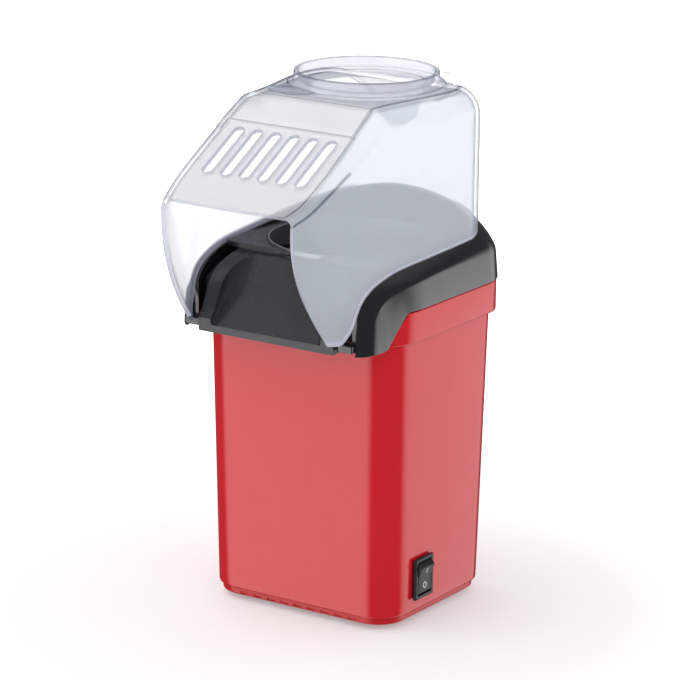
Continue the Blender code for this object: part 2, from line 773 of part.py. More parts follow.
def make_fan():
    low, high = HOUSING_Z
    r = HOUSING_RADIUS
    housing = place(
        "fan_housing",
        turned(
            (
                (r, low), (r, high), (SHIELD_RADIUS - 2, high), (SHIELD_RADIUS - 2, high + 1.6),
                (r - 6, high + 1.6), (r - 2, high - 3), (r - 2, low + 2), (18.0, low + 2), (18.0, low),
            )
        ),
        "black",
    )
    for x, y in ((-30, 0), (30, 0)):
        join(housing, turned(((4.0, low - 8), (4.0, low + 1)), (x, y), 12, ring=False))
    z = low + 4
    impeller = place(
        "impeller",
        turned(
            ((SHAFT_RADIUS + 0.3, z), (IMPELLER_RADIUS, z), (IMPELLER_RADIUS, z + 1.4), (6.0, z + 1.4),
             (5.0, z + 9.0), (SHAFT_RADIUS + 0.3, z + 9.0))
        ),
        "black",
    )
    for i in range(BLADE_COUNT):
        blade = box((14.0, -0.6, z + 0.7), (IMPELLER_RADIUS - 1.0, 0.6, z + 11.0))
        spin = Matrix.Rotation(2 * math.pi * i / BLADE_COUNT, 4, "Z")
        lean = Matrix.Translation((14.0, 0, 0)) @ Matrix.Rotation(math.radians(28), 4, "Z")
        bmesh.ops.transform(
            blade, matrix=spin @ lean @ Matrix.Translation((-14.0, 0, 0)), verts=blade.verts
        )
        join(impeller, blade)
    place("motor_shaft", rod(SHAFT_RADIUS, (0, 0, 12.5), (0, 0, low + 15), 16), "steel")
    bottom, top = MOTOR_Z
    r = MOTOR_RADIUS
    bore = SHAFT_RADIUS + 0.3
    place(
        "motor_can",
        turned(((bore, bottom + 2.5), (r, bottom + 2.5), (r, top - 2), (r - 2, top), (bore, top)), segments=32),
        "steel",
    )
    place(
        "motor_endcap",
        turned(((bore, bottom - 1), (7.0, bottom - 1), (7.0, bottom), (r, bottom), (r, bottom + 2.1), (bore, bottom + 2.1)),
               segments=32),
        "white",
    )
    bracket = place(
        "motor_bracket",
        turned(((r + 0.4, top - 6), (r + 3.4, top - 6), (r + 3.4, top - 3), (r + 0.4, top - 3)), segments=32),
        "steel",
    )
    for side in (-1, 1):
        ends = sorted((side * (r + 2.0), side * 36.0))
        join(bracket, box((ends[0], -5, HOUSING_Z[0] - 10.4), (ends[1], 5, HOUSING_Z[0] - 8.4)))
        cut(bracket, turned(((1.8, 20.0), (1.8, 50.0)), (side * 30, 0), 12, ring=False))
        name = "left" if side < 0 else "right"
        cut(housing, turned(((1.8, 20.0), (1.8, low - 1.0)), (side * 30, 0), 12, ring=False))
        place(
            f"motor_screw_{name}",
            turned(((2.9, low - 12.4), (2.9, low - 10.8), (1.4, low - 10.8), (1.4, low - 2.0)),
                   (side * 30, 0), 12, ring=False),
            "steel",
            (side * 30, 0, low - 12.4),
        )


def make_wiring():
    place("rectifier_board", box((-16, 22, 17.0), (16, 42, 18.6)), "board", smooth=False)
    place("suppressor_capacitor", box((-11, 26, 19.0), (1, 33, 29.0)), "white", smooth=False)
    place("terminal_block", box((4, 25, 19.0), (15, 36, 28.0)), "white", smooth=False)
    for name, start, mid, end, slot in (
        ("lead_switch", (36.4, SWITCH_Y, 20.5), (26.0, 26.0, 15.0), (16.8, 31.0, 22.0), "lead_red"),
        ("lead_motor", (-11.0, 2.0, 13.6), (-26.0, 16.0, 13.0), (-17.8, 28.0, 17.8), "lead_blue"),
    ):
        curve = bpy.data.curves.new(name, "CURVE")
        curve.dimensions = "3D"
        curve.bevel_depth = 1.0 * MM
        curve.bevel_resolution = 1
        curve.use_fill_caps = True
        line = curve.splines.new("POLY")
        steps = 12
        line.points.add(steps)
        for i, point in enumerate(line.points):
            t = i / steps
            spot = Vector(start) * (1 - t) ** 2 + Vector(mid) * 2 * t * (1 - t) + Vector(end) * t**2
            point.co = (*(spot * MM), 1.0)
        curve.materials.append(material(slot))
        lead = bpy.data.objects.new(name, curve)
        bpy.context.scene.collection.objects.link(lead)
        lead.parent = frame()
    place(
        "cord_gland",
        turned(((2.6, 0.0), (7.2, 0.0), (7.2, 2.6), (5.0, 2.6), (5.0, 9.6), (2.6, 9.6)), segments=24),
        "black",
    )
    gland = bpy.data.objects["cord_gland"]
    gland.rotation_euler = (math.pi / 2, 0, 0)
    gland.location = (0, 53.6 * MM, 22.0 * MM)


# ---------------------------------------------------------------- switch


def make_switch():
    half_y, half_z = BEZEL_SIZE[0] / 2, BEZEL_SIZE[1] / 2
    back = 45.0
    bezel = place(
        "switch_bezel",
        box((BEZEL_FRONT_X - 2.0, SWITCH_Y - half_y, SWITCH_Z - half_z),
            (BEZEL_FRONT_X, SWITCH_Y + half_y, SWITCH_Z + half_z)),
        "black",
        smooth=False,
    )
    join(bezel, box((back, SWITCH_Y - 7.1, SWITCH_Z - 9.9), (BEZEL_FRONT_X - 1, SWITCH_Y + 7.1, SWITCH_Z + 9.9)))
    clear = ROCKER_WIDTH / 2 + 0.3
    cut(
        bezel,
        box((back + 1.6, SWITCH_Y - clear, SWITCH_Z - 9.45), (70, SWITCH_Y + clear, SWITCH_Z + 9.45)),
        rod(1.5, (PIVOT_X, SWITCH_Y - 6.9, SWITCH_Z), (PIVOT_X, SWITCH_Y + 6.9, SWITCH_Z), 12),
    )
    r, flush = ROCKER_RADIUS, BEZEL_FRONT_X - PIVOT_X
    lower = -math.acos(flush / r)
    s, c = math.sin(ROCKER_TILT), math.cos(ROCKER_TILT)
    reach = -flush * s + math.sqrt((flush * s) ** 2 - flush**2 + r**2)
    upper = math.atan2(reach * c, flush + reach * s)
    outline = [(PIVOT_X + flush, SWITCH_Z)]
    arc = [upper + (math.radians(140) - upper) * i / 6 for i in range(7)]
    arc += [math.radians(-140) + (lower + math.radians(140)) * i / 6 for i in range(7)]
    outline += [(PIVOT_X + r * math.cos(a), SWITCH_Z + r * math.sin(a)) for a in arc]
    origin = (PIVOT_X, SWITCH_Y, SWITCH_Z)
    rocker = place(
        "switch_rocker",
        side_prism(outline, SWITCH_Y - ROCKER_WIDTH / 2, SWITCH_Y + ROCKER_WIDTH / 2),
        "black",
        origin,
        smooth=False,
    )
    join(rocker, rod(1.2, (PIVOT_X, SWITCH_Y - 6.75, SWITCH_Z), (PIVOT_X, SWITCH_Y + 6.75, SWITCH_Z), 12))
    for name, z in (("upper", SWITCH_Z + 4.5), ("lower", SWITCH_Z - 4.5)):
        place(
            f"switch_terminal_{name}",
            box((38.0, SWITCH_Y - 2.4, z - 0.4), (back - GAP, SWITCH_Y + 2.4, z + 0.4)),
            "brass",
            smooth=False,
        )


clear_scene()
make_body()
make_base()
make_collar()
make_chute()
make_hood()
make_chamber()
make_heater()
make_fan()
make_wiring()
make_switch()
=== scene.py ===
"""Looks for the popcorn maker: gloss red body, black collar and chute, clear hood, and the metal inside.

Shapes are built in millimetres in the body's own frame (X right, Y rear, Z up, the popping chamber's axis
at X = Y = 0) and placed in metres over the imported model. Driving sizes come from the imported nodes' boxes.
"""

import math

import bmesh
import bpy
from mathutils import Matrix, Vector


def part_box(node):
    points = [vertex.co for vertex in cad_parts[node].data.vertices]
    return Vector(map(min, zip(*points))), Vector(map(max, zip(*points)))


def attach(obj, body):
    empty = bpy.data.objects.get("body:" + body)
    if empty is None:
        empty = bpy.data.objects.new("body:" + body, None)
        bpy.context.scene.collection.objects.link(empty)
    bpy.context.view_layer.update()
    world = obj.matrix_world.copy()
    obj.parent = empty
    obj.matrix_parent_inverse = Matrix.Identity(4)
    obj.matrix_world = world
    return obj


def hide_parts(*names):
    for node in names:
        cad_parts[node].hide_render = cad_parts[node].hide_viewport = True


MM = 0.001

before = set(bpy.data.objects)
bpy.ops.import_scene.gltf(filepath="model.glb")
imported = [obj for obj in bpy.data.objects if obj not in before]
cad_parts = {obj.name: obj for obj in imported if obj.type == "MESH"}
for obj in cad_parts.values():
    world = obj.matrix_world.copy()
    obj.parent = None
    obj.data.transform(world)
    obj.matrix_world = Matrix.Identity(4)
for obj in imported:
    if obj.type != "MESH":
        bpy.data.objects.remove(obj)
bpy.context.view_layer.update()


def box_mm(node):
    """A CAD node's lowest and highest corners, in millimetres of the body's frame."""
    return [Vector(corner) / MM - Vector((0, AXIS_Y, 0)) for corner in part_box(node)]


AXIS_Y = sum(corner.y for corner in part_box("popping_chamber")) / 2 / MM

BODY_LOW, BODY_HIGH = box_mm("body_shell")
PLINTH_LOW = box_mm("base_plate")[0]
COLLAR_LOW, COLLAR_HIGH = box_mm("collar")
CHUTE_LOW, CHUTE_HIGH = box_mm("chute")
HOOD_LOW, HOOD_HIGH = box_mm("hood")
CHAMBER_LOW, CHAMBER_HIGH = box_mm("popping_chamber")
THROAT_LOW, THROAT_HIGH = box_mm("throat_ring")
BEZEL_LOW, BEZEL_HIGH = box_mm("switch_bezel")

# Body
GAP = 0.35  # between parts that touch or nearly touch
WALL = 2.5
BODY_LOW_SIZE = (116.5, 100.0)
BODY_HIGH_SIZE = (121.0, 108.0)
BODY_CORNER = 18.0
BODY_BOTTOM_Z = BODY_LOW.z
BODY_TOP_Z = BODY_HIGH.z
BAND_Z = BODY_TOP_Z - 17.5
BAND_SIZE = (2 * BODY_HIGH.x, 2 * BODY_HIGH.y)
BAND_CORNER = 21.2
FRONT_CUT = ((-56.5, BAND_Z - 0.5), (-42.5, BODY_TOP_Z - 0.6))
PLINTH_INSET = 2.0

# Collar
COLLAR_HALF = COLLAR_HIGH.x
COLLAR_REAR = COLLAR_HIGH.y
COLLAR_FRONT = -76.8
COLLAR_ROUND = 22.0
COLLAR_FRONT_ROUND = 12.3
COLLAR_CORNER = (COLLAR_HALF - COLLAR_ROUND, COLLAR_REAR - COLLAR_ROUND)
COLLAR_SHOULDER_Z = 189.0
COLLAR_NARROWING = 5.4

# Hood
HOOD_FRONT = HOOD_LOW.y + 0.02  # nothing of the hood stands in front of the CAD hood
HOOD_HALF = HOOD_HIGH.x
HOOD_REAR = 51.0
HOOD_CORNER = 26.0
CORNER_X = HOOD_HALF - HOOD_CORNER
CORNER_Y = HOOD_REAR - HOOD_CORNER
HOOD_WALL = 2.3
HOOD_NARROWING = 11.0  # from the rear corners to the mouth
MOUTH_PINCH = (2.2, 10.0)  # how much narrower right at the mouth, and how far back that fades
LIP = (-114.2, 234.7)  # (y, z) of the mouth's top edge
TIP = (-80.0, 163.4)  # (y, z) that the mouth's side edges head for
LEAN_REACH = 75.0  # how far behind the mouth the cross-sections still lean with it
ROOF_FRONT = (-38.8, 277.0)  # (y, z) where the sloping roof meets the flat top
ROOF_ROUND = (6.0, 8.0)  # radius of the roof's rounded edge at the mouth, and what it gains to the rear
ROOF_INSET = (3.0, 8.0)  # how far the walls lean in to the roof, at the mouth and where the roof turns flat
MOUTH_INSET = (1.0, 5.8)  # the walls also draw in this much right at the mouth: at the roof, at the corner
MOUTH_INSET_REACH = 5.0
INSET_START = 6.0  # height above the rim where the walls begin to lean in
MOUTH_BOW = 11.0  # how far the mouth's side edges bow forward of a straight line
CORNER_FORWARD = 6.6  # how far the blunt lower corners reach in front of the line
CREASE_Y = -58.0
CREASE_STEP = 0.9
RIM_PROFILE = (
    (-81.0, 163.6), (-76.0, 171.0), (-71.0, 182.0), (-64.0, 188.5),
    (-52.0, 193.0), (-40.0, 195.3), (-14.0, 197.0), (25.0, 199.0),
)
RIM_SINK = 1.2  # how far the hood reaches below the rim
FRONT_LIFT = 0.6  # how much less it does so at the front
REAR_ARCH = 17.0  # how far the rim climbs round the rear
REAR_ROUND = 13.0
RING_Y = 12.0
RING_RADIUS = 38.5
RING_TOP_Z = HOOD_HIGH.z
RING_HOLE = 31.0
EDGE_AND_HIGHLIGHT_FACE, PAINTED_LINE_FACE, ROOF_FACE = 1, 2, 3  # material slots of the hood: cut edges with the painted highlight line, painted dark lines, the flat of the roof. A rim face takes the next one
ROOF_STRIP = 21  # strips this far from the lower edge and further belong to the flat of the roof
BEND_PAINTED_LINES = {True: (15, 21), False: (21,)}  # strips of the roof's rounded edge that take painted dark lines, by nearness to the mouth
# strips along the left slope that take painted dark lines
LEFT_PAINTED_LINES = (17, 18, 19, 20)
WEDGE_END = -74.0  # y where the painted dark line beside the mouth ends
VENT_COUNT = 6
VENT_PITCH = 11.4
VENT_WIDTH = 6.6
VENT_ENDS = (-93.5, -61.5)

# Chute and chamber
CHUTE_HALF = 42.0
CHUTE_FRONT = CHUTE_LOW.y
CHANNEL_HALF = 34.5
WING_HALF = 46.5
WING_DROP = 3.5
DECK_Z = CHUTE_HIGH.z
THROAT_RADIUS = 45.0
CHANNEL_FRONT_Z = 161.0

# Camera
AZIMUTH, ELEVATION, ROLL = 33.4, 15.24, 0.72
DISTANCE = 1.9661
LENS = 195.9
SHIFT = (-0.0161, -0.0258)
LOOK_AT = (0.0, AXIS_Y * MM, 0.15)

# Light, in radiance of a white surface but for the key light's strength
AMBIENT = (1.85, 0.6)
SOFT_BOXES = ((240.0, 24.0, 2.6), (54.0, 21.0, 1.6))  # bearing and half width in degrees, brightness
SOFT_EDGE = (13.0, -7.0)  # degrees outside and inside a soft box's edge, over which it fades
FAR_WHITE = 1.9  # the background as the camera sees it, brighter than the light it gives
NEAR_GLOW, FAR_GLOW = 0.28, 1.15  # the floor's glow near the object and far from it
GLOW_RANGE = (0.16, 0.6)  # metres from the object between which it grows
KEY = 0.5
KEY_SPREAD = 50.0  # degrees
KEY_FROM = (-0.55, -0.35, 1.1)

pieces = {}


# ---------------------------------------------------------------- node and material helpers


def tree_of(material):
    material.use_nodes = True
    return material.node_tree


def add(tree, kind, **values):
    node = tree.nodes.new(kind)
    for key, value in values.items():
        setattr(node, key, value)
    return node


def link(tree, source, target):
    tree.links.new(source, target)


def ramp(tree, source, low, high, to_low, to_high):
    """A number from one range carried to another."""
    node = add(tree, "ShaderNodeMapRange")
    for name, value in zip(("From Min", "From Max", "To Min", "To Max"), (low, high, to_low, to_high)):
        node.inputs[name].default_value = value
    link(tree, source, node.inputs["Value"])
    return node.outputs["Result"]


def noise(tree, scale, detail=3.0, stretch=(1, 1, 1)):
    """Noise in the object's own space. scale counts features per metre."""
    where = add(tree, "ShaderNodeTexCoord")
    place_node = add(tree, "ShaderNodeMapping")
    place_node.inputs["Scale"].default_value = stretch
    link(tree, where.outputs["Object"], place_node.inputs["Vector"])
    node = add(tree, "ShaderNodeTexNoise")
    node.inputs["Scale"].default_value = scale
    node.inputs["Detail"].default_value = detail
    link(tree, place_node.outputs["Vector"], node.inputs["Vector"])
    return node.outputs["Fac"]


def colour_mix(tree, factor, first, second):
    node = add(tree, "ShaderNodeMix", data_type="RGBA")
    node.inputs["A"].default_value = (*first, 1.0)
    node.inputs["B"].default_value = (*second, 1.0)
    link(tree, factor, node.inputs["Factor"])
    return node.outputs["Result"]


def maths(tree, operation, first, second):
    node = add(tree, "ShaderNodeMath", operation=operation)
    link(tree, first, node.inputs[0])
    link(tree, second, node.inputs[1])
    return node.outputs["Value"]


def bump(tree, shader, height, strength, distance):
    node = add(tree, "ShaderNodeBump")
    node.inputs["Strength"].default_value = strength
    node.inputs["Distance"].default_value = distance
    link(tree, height, node.inputs["Height"])
    link(tree, node.outputs["Normal"], shader.inputs["Normal"])


def plastic(name, colour, deep, roughness, grain=350.0, grain_depth=0.012, coat=0.0):
    """Moulded plastic: a slow colour drift, uneven gloss and a fine surface waviness."""
    made = bpy.data.materials.new(name)
    tree = tree_of(made)
    shader = tree.nodes["Principled BSDF"]
    link(tree, colour_mix(tree, noise(tree, 22.0), colour, deep), shader.inputs["Base Color"])
    gloss = ramp(tree, noise(tree, 60.0, 4.0), 0.3, 0.7, roughness * 0.9, roughness * 1.12)
    link(tree, gloss, shader.inputs["Roughness"])
    bump(tree, shader, noise(tree, grain, 2.0), grain_depth, 0.0002)
    shader.inputs["Coat Weight"].default_value = coat
    shader.inputs["Coat Roughness"].default_value = 0.06
    return made


def metal(name, colour, roughness):
    """Bare metal with fine drawn or turned lines."""
    made = bpy.data.materials.new(name)
    tree = tree_of(made)
    shader = tree.nodes["Principled BSDF"]
    lines = noise(tree, 120.0, 5.0, (1, 1, 40))
    darker = tuple(0.82 * c for c in colour)
    link(tree, colour_mix(tree, lines, colour, darker), shader.inputs["Base Color"])
    link(tree, ramp(tree, lines, 0.3, 0.7, roughness * 0.8, roughness * 1.25), shader.inputs["Roughness"])
    bump(tree, shader, lines, 0.15, 0.0001)
    shader.inputs["Metallic"].default_value = 1.0
    return made


def clear_plastic(name, colour, deep, least, most, roughness=0.04):
    """See-through plastic: faintly milky, deeper in colour and more solid where it is seen edge on."""
    made = bpy.data.materials.new(name)
    tree = tree_of(made)
    shader = tree.nodes["Principled BSDF"]
    faint = tuple(0.97 * c for c in colour)
    facing = add(tree, "ShaderNodeLayerWeight")
    facing.inputs["Blend"].default_value = 0.5
    tint = add(tree, "ShaderNodeMix", data_type="RGBA")
    link(tree, ramp(tree, facing.outputs["Facing"], 0.6, 0.97, 0.0, 0.85), tint.inputs["Factor"])
    link(tree, colour_mix(tree, noise(tree, 14.0), colour, faint), tint.inputs["A"])
    tint.inputs["B"].default_value = (*deep, 1.0)
    link(tree, tint.outputs["Result"], shader.inputs["Base Color"])
    link(tree, ramp(tree, facing.outputs["Facing"], 0.6, 1.0, least, most), shader.inputs["Alpha"])
    gloss = ramp(tree, noise(tree, 50.0), 0.3, 0.7, roughness * 0.8, roughness * 1.3)
    link(tree, gloss, shader.inputs["Roughness"])
    bump(tree, shader, noise(tree, 18.0, 1.0), 0.02, 0.0004)
    shader.inputs["IOR"].default_value = 1.49
    return made


def make_materials():
    return {
        "red": plastic("red_gloss", (0.66, 0.011, 0.02), (0.63, 0.009, 0.017), 0.2, coat=0.35),
        "red_plinth": plastic("red_plinth", (0.58, 0.010, 0.018), (0.54, 0.008, 0.015), 0.28),
        "black": plastic("black_gloss", (0.016, 0.017, 0.019), (0.012, 0.013, 0.015), 0.16, coat=0.8),
        "chute": plastic(
            "chute_black", (0.022, 0.026, 0.028), (0.018, 0.021, 0.023), 0.26, grain_depth=0.004, coat=0.15
        ),
        "switch": plastic("switch_black", (0.02, 0.021, 0.024), (0.016, 0.017, 0.02), 0.38, grain=2500.0),
        "mark": plastic("mark_paint", (0.82, 0.83, 0.84), (0.76, 0.77, 0.78), 0.45),
        "dark": plastic("dark_plastic", (0.05, 0.05, 0.05), (0.04, 0.04, 0.04), 0.5),
        "white": plastic("white_plastic", (0.74, 0.74, 0.70), (0.70, 0.70, 0.66), 0.45),
        "rubber": plastic("rubber", (0.03, 0.03, 0.03), (0.022, 0.022, 0.022), 0.8, 1500.0, 0.3),
        "mica": plastic("mica", (0.56, 0.5, 0.38), (0.44, 0.38, 0.27), 0.5, 500.0, 0.2),
        "board": plastic("board", (0.32, 0.2, 0.09), (0.27, 0.16, 0.07), 0.55, 700.0, 0.1),
        "lead_red": plastic("lead_red", (0.45, 0.03, 0.03), (0.4, 0.02, 0.02), 0.45),
        "lead_blue": plastic("lead_blue", (0.03, 0.08, 0.4), (0.02, 0.06, 0.34), 0.45),
        "aluminium": metal("aluminium", (0.86, 0.87, 0.88), 0.24),
        "dull": metal("dull_aluminium", (0.42, 0.43, 0.45), 0.42),
        "steel": metal("steel", (0.6, 0.61, 0.63), 0.3),
        "wire": metal("heating_wire", (0.5, 0.44, 0.4), 0.4),
        "brass": metal("brass", (0.78, 0.62, 0.3), 0.3),
        "clear": clear_plastic("clear_plastic", (0.86, 0.92, 1.0), (0.26, 0.30, 0.40), 0.36, 0.9),
        "clear_roof": clear_plastic("clear_roof", (0.78, 0.79, 0.83), (0.36, 0.40, 0.50), 0.4, 0.85),
        "clear_ring": clear_plastic("clear_ring", (0.58, 0.61, 0.72), (0.32, 0.36, 0.48), 0.42, 0.9),
        # cut edges, and a painted highlight line along the hood's lower edge: paler and more solid than the
        # clear plastic
        "clear_edge_and_highlight": clear_plastic("clear_edge_and_highlight", (0.66, 0.68, 0.80), (0.42, 0.45, 0.56), 0.8, 0.95, 0.12),
        # painted dark lines: painted reflection on the hood's bends, crease and ring corners
        "clear_painted_line": clear_plastic("clear_painted_line", (0.16, 0.19, 0.26), (0.10, 0.12, 0.18), 0.5, 0.95),
    }


# ---------------------------------------------------------------- mesh helpers


def transform(shape, matrix):
    bmesh.ops.transform(shape, matrix=matrix, verts=shape.verts)


def to_object(name, mesh_data, material):
    """A bmesh, in millimetres of the body's frame, as a metre-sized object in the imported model's frame."""
    bmesh.ops.remove_doubles(mesh_data, verts=mesh_data.verts, dist=1e-4)
    bmesh.ops.recalc_face_normals(mesh_data, faces=mesh_data.faces)
    move = Matrix.Scale(MM, 4) @ Matrix.Translation((0, AXIS_Y, 0))
    transform(mesh_data, move)
    mesh = bpy.data.meshes.new(name)
    mesh_data.to_mesh(mesh)
    mesh_data.free()
    mesh.materials.append(material)
    obj = bpy.data.objects.new(name, mesh)
    bpy.context.scene.collection.objects.link(obj)
    return obj


def realise(obj):
    """Turns the object's modifiers into its mesh."""
    graph = bpy.context.evaluated_depsgraph_get()
    mesh = bpy.data.meshes.new_from_object(obj.evaluated_get(graph))
    obj.modifiers.clear()
    old = obj.data
    obj.data = mesh
    bpy.data.meshes.remove(old)


def combine(obj, shape, operation, material=None):
    other = to_object("helper", shape, material or obj.data.materials[0])
    step = obj.modifiers.new("Combine", "BOOLEAN")
    step.operation = operation
    step.object = other
    step.solver = "EXACT"
    step.material_mode = "TRANSFER"
    realise(obj)
    bpy.data.objects.remove(other, do_unlink=True)


def cut(obj, *shapes, material=None):
    for shape in shapes:
        combine(obj, shape, "DIFFERENCE", material)


def join(obj, *shapes, material=None):
    for shape in shapes:
        combine(obj, shape, "UNION", material)


def soften(obj, width, angle=40.0):
    """Rounds the edges sharper than the angle."""
    step = obj.modifiers.new("Soften", "BEVEL")
    step.width = width * MM
    step.segments = 3
    step.limit_method = "ANGLE"
    step.angle_limit = math.radians(angle)
    step.use_clamp_overlap = True
    step.miter_outer = "MITER_ARC"
    realise(obj)


def finish_piece(obj, body, *nodes, slot=None, angle=32.0):
    obj.data.shade_smooth()
    obj.data.set_sharp_from_angle(angle=math.radians(angle))
    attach(obj, body)
    if nodes:
        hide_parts(*nodes)
    pieces[obj.name] = obj
    return obj


def skin(loops, ring=False):
    """A bmesh through loops of equal length: with end caps, or back to the first loop."""
    made = bmesh.new()
    rows = [[made.verts.new(point) for point in loop] for loop in loops]
    pairs = list(zip(rows, rows[1:]))
    if ring:
        pairs.append((rows[-1], rows[0]))
    for low, high in pairs:
        for i in range(len(low)):
            j = (i + 1) % len(low)
            made.faces.new((low[i], low[j], high[j], high[i]))
    if not ring:
        made.faces.new(rows[0][::-1])
        made.faces.new(rows[-1])
    return made


def rounded_rectangle(size, radius, z, centre=(0, 0), arc_steps=12):
    points = []
    for quarter in range(4):
        side_x = 1 if quarter in (0, 3) else -1
        side_y = 1 if quarter in (0, 1) else -1
        cx = centre[0] + side_x * (size[0] / 2 - radius)
        cy = centre[1] + side_y * (size[1] / 2 - radius)
        for step in range(arc_steps + 1):
            angle = (quarter + step / arc_steps) * math.pi / 2
            points.append((cx + radius * math.cos(angle), cy + radius * math.sin(angle), z))
    return points


def circle(radius, z, centre=(0, 0), segments=96):
    return [
        (centre[0] + radius * math.cos(a), centre[1] + radius * math.sin(a), z)
        for a in (2 * math.pi * i / segments for i in range(segments))
    ]


def turned(profile, centre=(0, 0), segments=96, ring=True):
    """A turned shape from (radius, z) points: a closed ring, or a solid with end caps."""
    return skin([circle(r, z, centre, segments) for r, z in profile], ring)


def rounded_profile(corners, radius, steps=4):
    """A closed outline's corners, each replaced by a small arc."""
    points = []
    count = len(corners)
    for i in range(count):
        here = Vector(corners[i])
        before = Vector(corners[i - 1]) - here
        after = Vector(corners[(i + 1) % count]) - here
        reach = min(radius, 0.45 * before.length, 0.45 * after.length)
        start, end = here + before.normalized() * reach, here + after.normalized() * reach
        for step in range(steps + 1):
            t = step / steps
            spot = start * (1 - t) ** 2 + here * 2 * t * (1 - t) + end * t**2
            points.append(tuple(spot))
    return points


def box(low, high):
    low, high = Vector(low), Vector(high)
    made = bmesh.new()
    bmesh.ops.create_cube(made, size=1.0)
    spread = Matrix.Diagonal((*(high - low), 1.0))
    transform(made, Matrix.Translation((low + high) / 2) @ spread)
    return made


def rod(radius, low, high):
    low, high = Vector(low), Vector(high)
    made = turned(((radius, 0.0), (radius, (high - low).length)), segments=32, ring=False)
    turn = (high - low).to_track_quat("Z", "Y").to_matrix().to_4x4()
    transform(made, Matrix.Translation(low) @ turn)
    return made


def prism(outline, low_x, high_x):
    """A (y, z) outline drawn out along X."""
    return skin([[(x, y, z) for y, z in outline] for x in (low_x, high_x)])


def side_prism(outline, low_y, high_y):
    """An (x, z) outline drawn out along Y."""
    return skin([[(x, y, z) for x, z in outline] for y in (low_y, high_y)])


def clamp(t):
    """t, held between 0 and 1."""
    return min(max(t, 0.0), 1.0)


def smooth_step(t):
    t = clamp(t)
    return t * t * (3 - 2 * t)


def smooth_through(points, at):
    """A smooth curve's height at a place, through points that climb in their first value."""
    if at <= points[0][0]:
        return points[0][1]
    if at >= points[-1][0]:
        return points[-1][1]
    slopes = []
    for i in range(len(points)):
        before, after = points[max(i - 1, 0)], points[min(i + 1, len(points) - 1)]
        slopes.append((after[1] - before[1]) / (after[0] - before[0]))
    i = max(k for k in range(len(points) - 1) if points[k][0] <= at)
    span = points[i + 1][0] - points[i][0]
    t = (at - points[i][0]) / span
    return (
        (2 * t**3 - 3 * t**2 + 1) * points[i][1]
        + (t**3 - 2 * t**2 + t) * span * slopes[i]
        + (3 * t**2 - 2 * t**3) * points[i + 1][1]
        + (t**3 - t**2) * span * slopes[i + 1]
    )


# ---------------------------------------------------------------- the lines that hood and collar share


def mouth_y(z):
    """y of the straight line from the mouth's top edge to its lower corners."""
    return LIP[0] + (LIP[1] - z) * (TIP[0] - LIP[0]) / (LIP[1] - TIP[1])


def hood_half_width(y, behind_mouth=60.0):
    """Half the hood's outer width at rim height. It narrows to the front, and a little more at the mouth."""
    if y >= CORNER_Y:
        return CORNER_X + math.sqrt(max(HOOD_CORNER**2 - (y - CORNER_Y) ** 2, 0.0))
    narrowing = HOOD_NARROWING * ((CORNER_Y - y) / (CORNER_Y - LIP[0])) ** 2
    pinch, reach = MOUTH_PINCH
    return HOOD_HALF - narrowing - pinch * math.exp(-max(behind_mouth, 0.0) / reach)


def rim_height(x, y):
    """The height of the line where the hood meets the collar."""
    if y <= CORNER_Y:
        return smooth_through(RIM_PROFILE, max(y, RIM_PROFILE[0][0]))
    arc = HOOD_CORNER * math.pi / 2
    if abs(x) <= CORNER_X:
        along = arc + CORNER_X - abs(x)
    else:
        along = HOOD_CORNER * math.atan2(y - CORNER_Y, abs(x) - CORNER_X)
    share = math.sin(math.pi / 2 * along / (arc + CORNER_X)) ** 1.5
    return RIM_PROFILE[-1][1] + REAR_ARCH * share


def half_outline(rear, corner, radius, side, front, front_corner, front_radius):
    """Plan points of the right half, from the middle of the rear round to the middle of the front."""
    points = [(corner[0] * i / 8, rear) for i in range(8)]
    for i in range(17):
        angle = math.pi / 2 * (1 - i / 16)
        points.append((corner[0] + radius * math.cos(angle), corner[1] + radius * math.sin(angle)))
    low = front_corner[1]
    for i in range(1, 49):
        y = corner[1] + (low - corner[1]) * i / 48
        points.append((side(y), y))
    for i in range(1, 9):
        angle = -math.pi / 2 * i / 8
        points.append(
            (front_corner[0] + front_radius * math.cos(angle), low + front_radius * math.sin(angle))
        )
    points += [(front_corner[0] * (1 - i / 5), front) for i in range(1, 6)]
    return points


def collar_side(y):
    return COLLAR_HALF - COLLAR_NARROWING * smooth_step((-30.0 - y) / 32.0)


def collar_outer():
    radius = COLLAR_FRONT_ROUND
    corner = (COLLAR_HALF - COLLAR_NARROWING - radius, COLLAR_FRONT + radius)
    return half_outline(
        COLLAR_REAR, COLLAR_CORNER, COLLAR_ROUND, collar_side, COLLAR_FRONT, corner, radius
    )


def rim_outline(outwards):
    """The hood's outer plan line above the collar, moved outwards."""

    def side(y):
        return hood_half_width(y, y - mouth_y(smooth_through(RIM_PROFILE, y))) + outwards

    radius = HOOD_CORNER + outwards
    front = COLLAR_FRONT + 0.8
    end = 3.0
    return half_outline(
        HOOD_REAR + outwards, (CORNER_X, CORNER_Y), radius, side,
        front, (side(front + end) - end, front + end), end,
    )


def mirrored(half, heights):
    right = [(x, y, z) for (x, y), z in zip(half, heights)]
    left = [(-x, y, z) for x, y, z in right[-2:0:-1]]
    return right + left


# ---------------------------------------------------------------- body and base


def body_section(z, shrink=0.0):
    share = (z - BODY_BOTTOM_Z) / (BAND_Z - BODY_BOTTOM_Z)
    size = [low + (high - low) * share - 2 * shrink for low, high in zip(BODY_LOW_SIZE, BODY_HIGH_SIZE)]
    return rounded_rectangle(size, BODY_CORNER - shrink, z)


def fillet(section, z, radius, up):
    """Loops of a rounded edge whose outer side starts a radius above or below z."""
    loops = []
    steps = 4
    for i in range(steps + 1):
        angle = math.pi / 2 * i / steps
        inset = radius * (1 - math.sin(angle))
        loops.append(section(z + up * radius * (1 - math.cos(angle)), inset))
    return loops


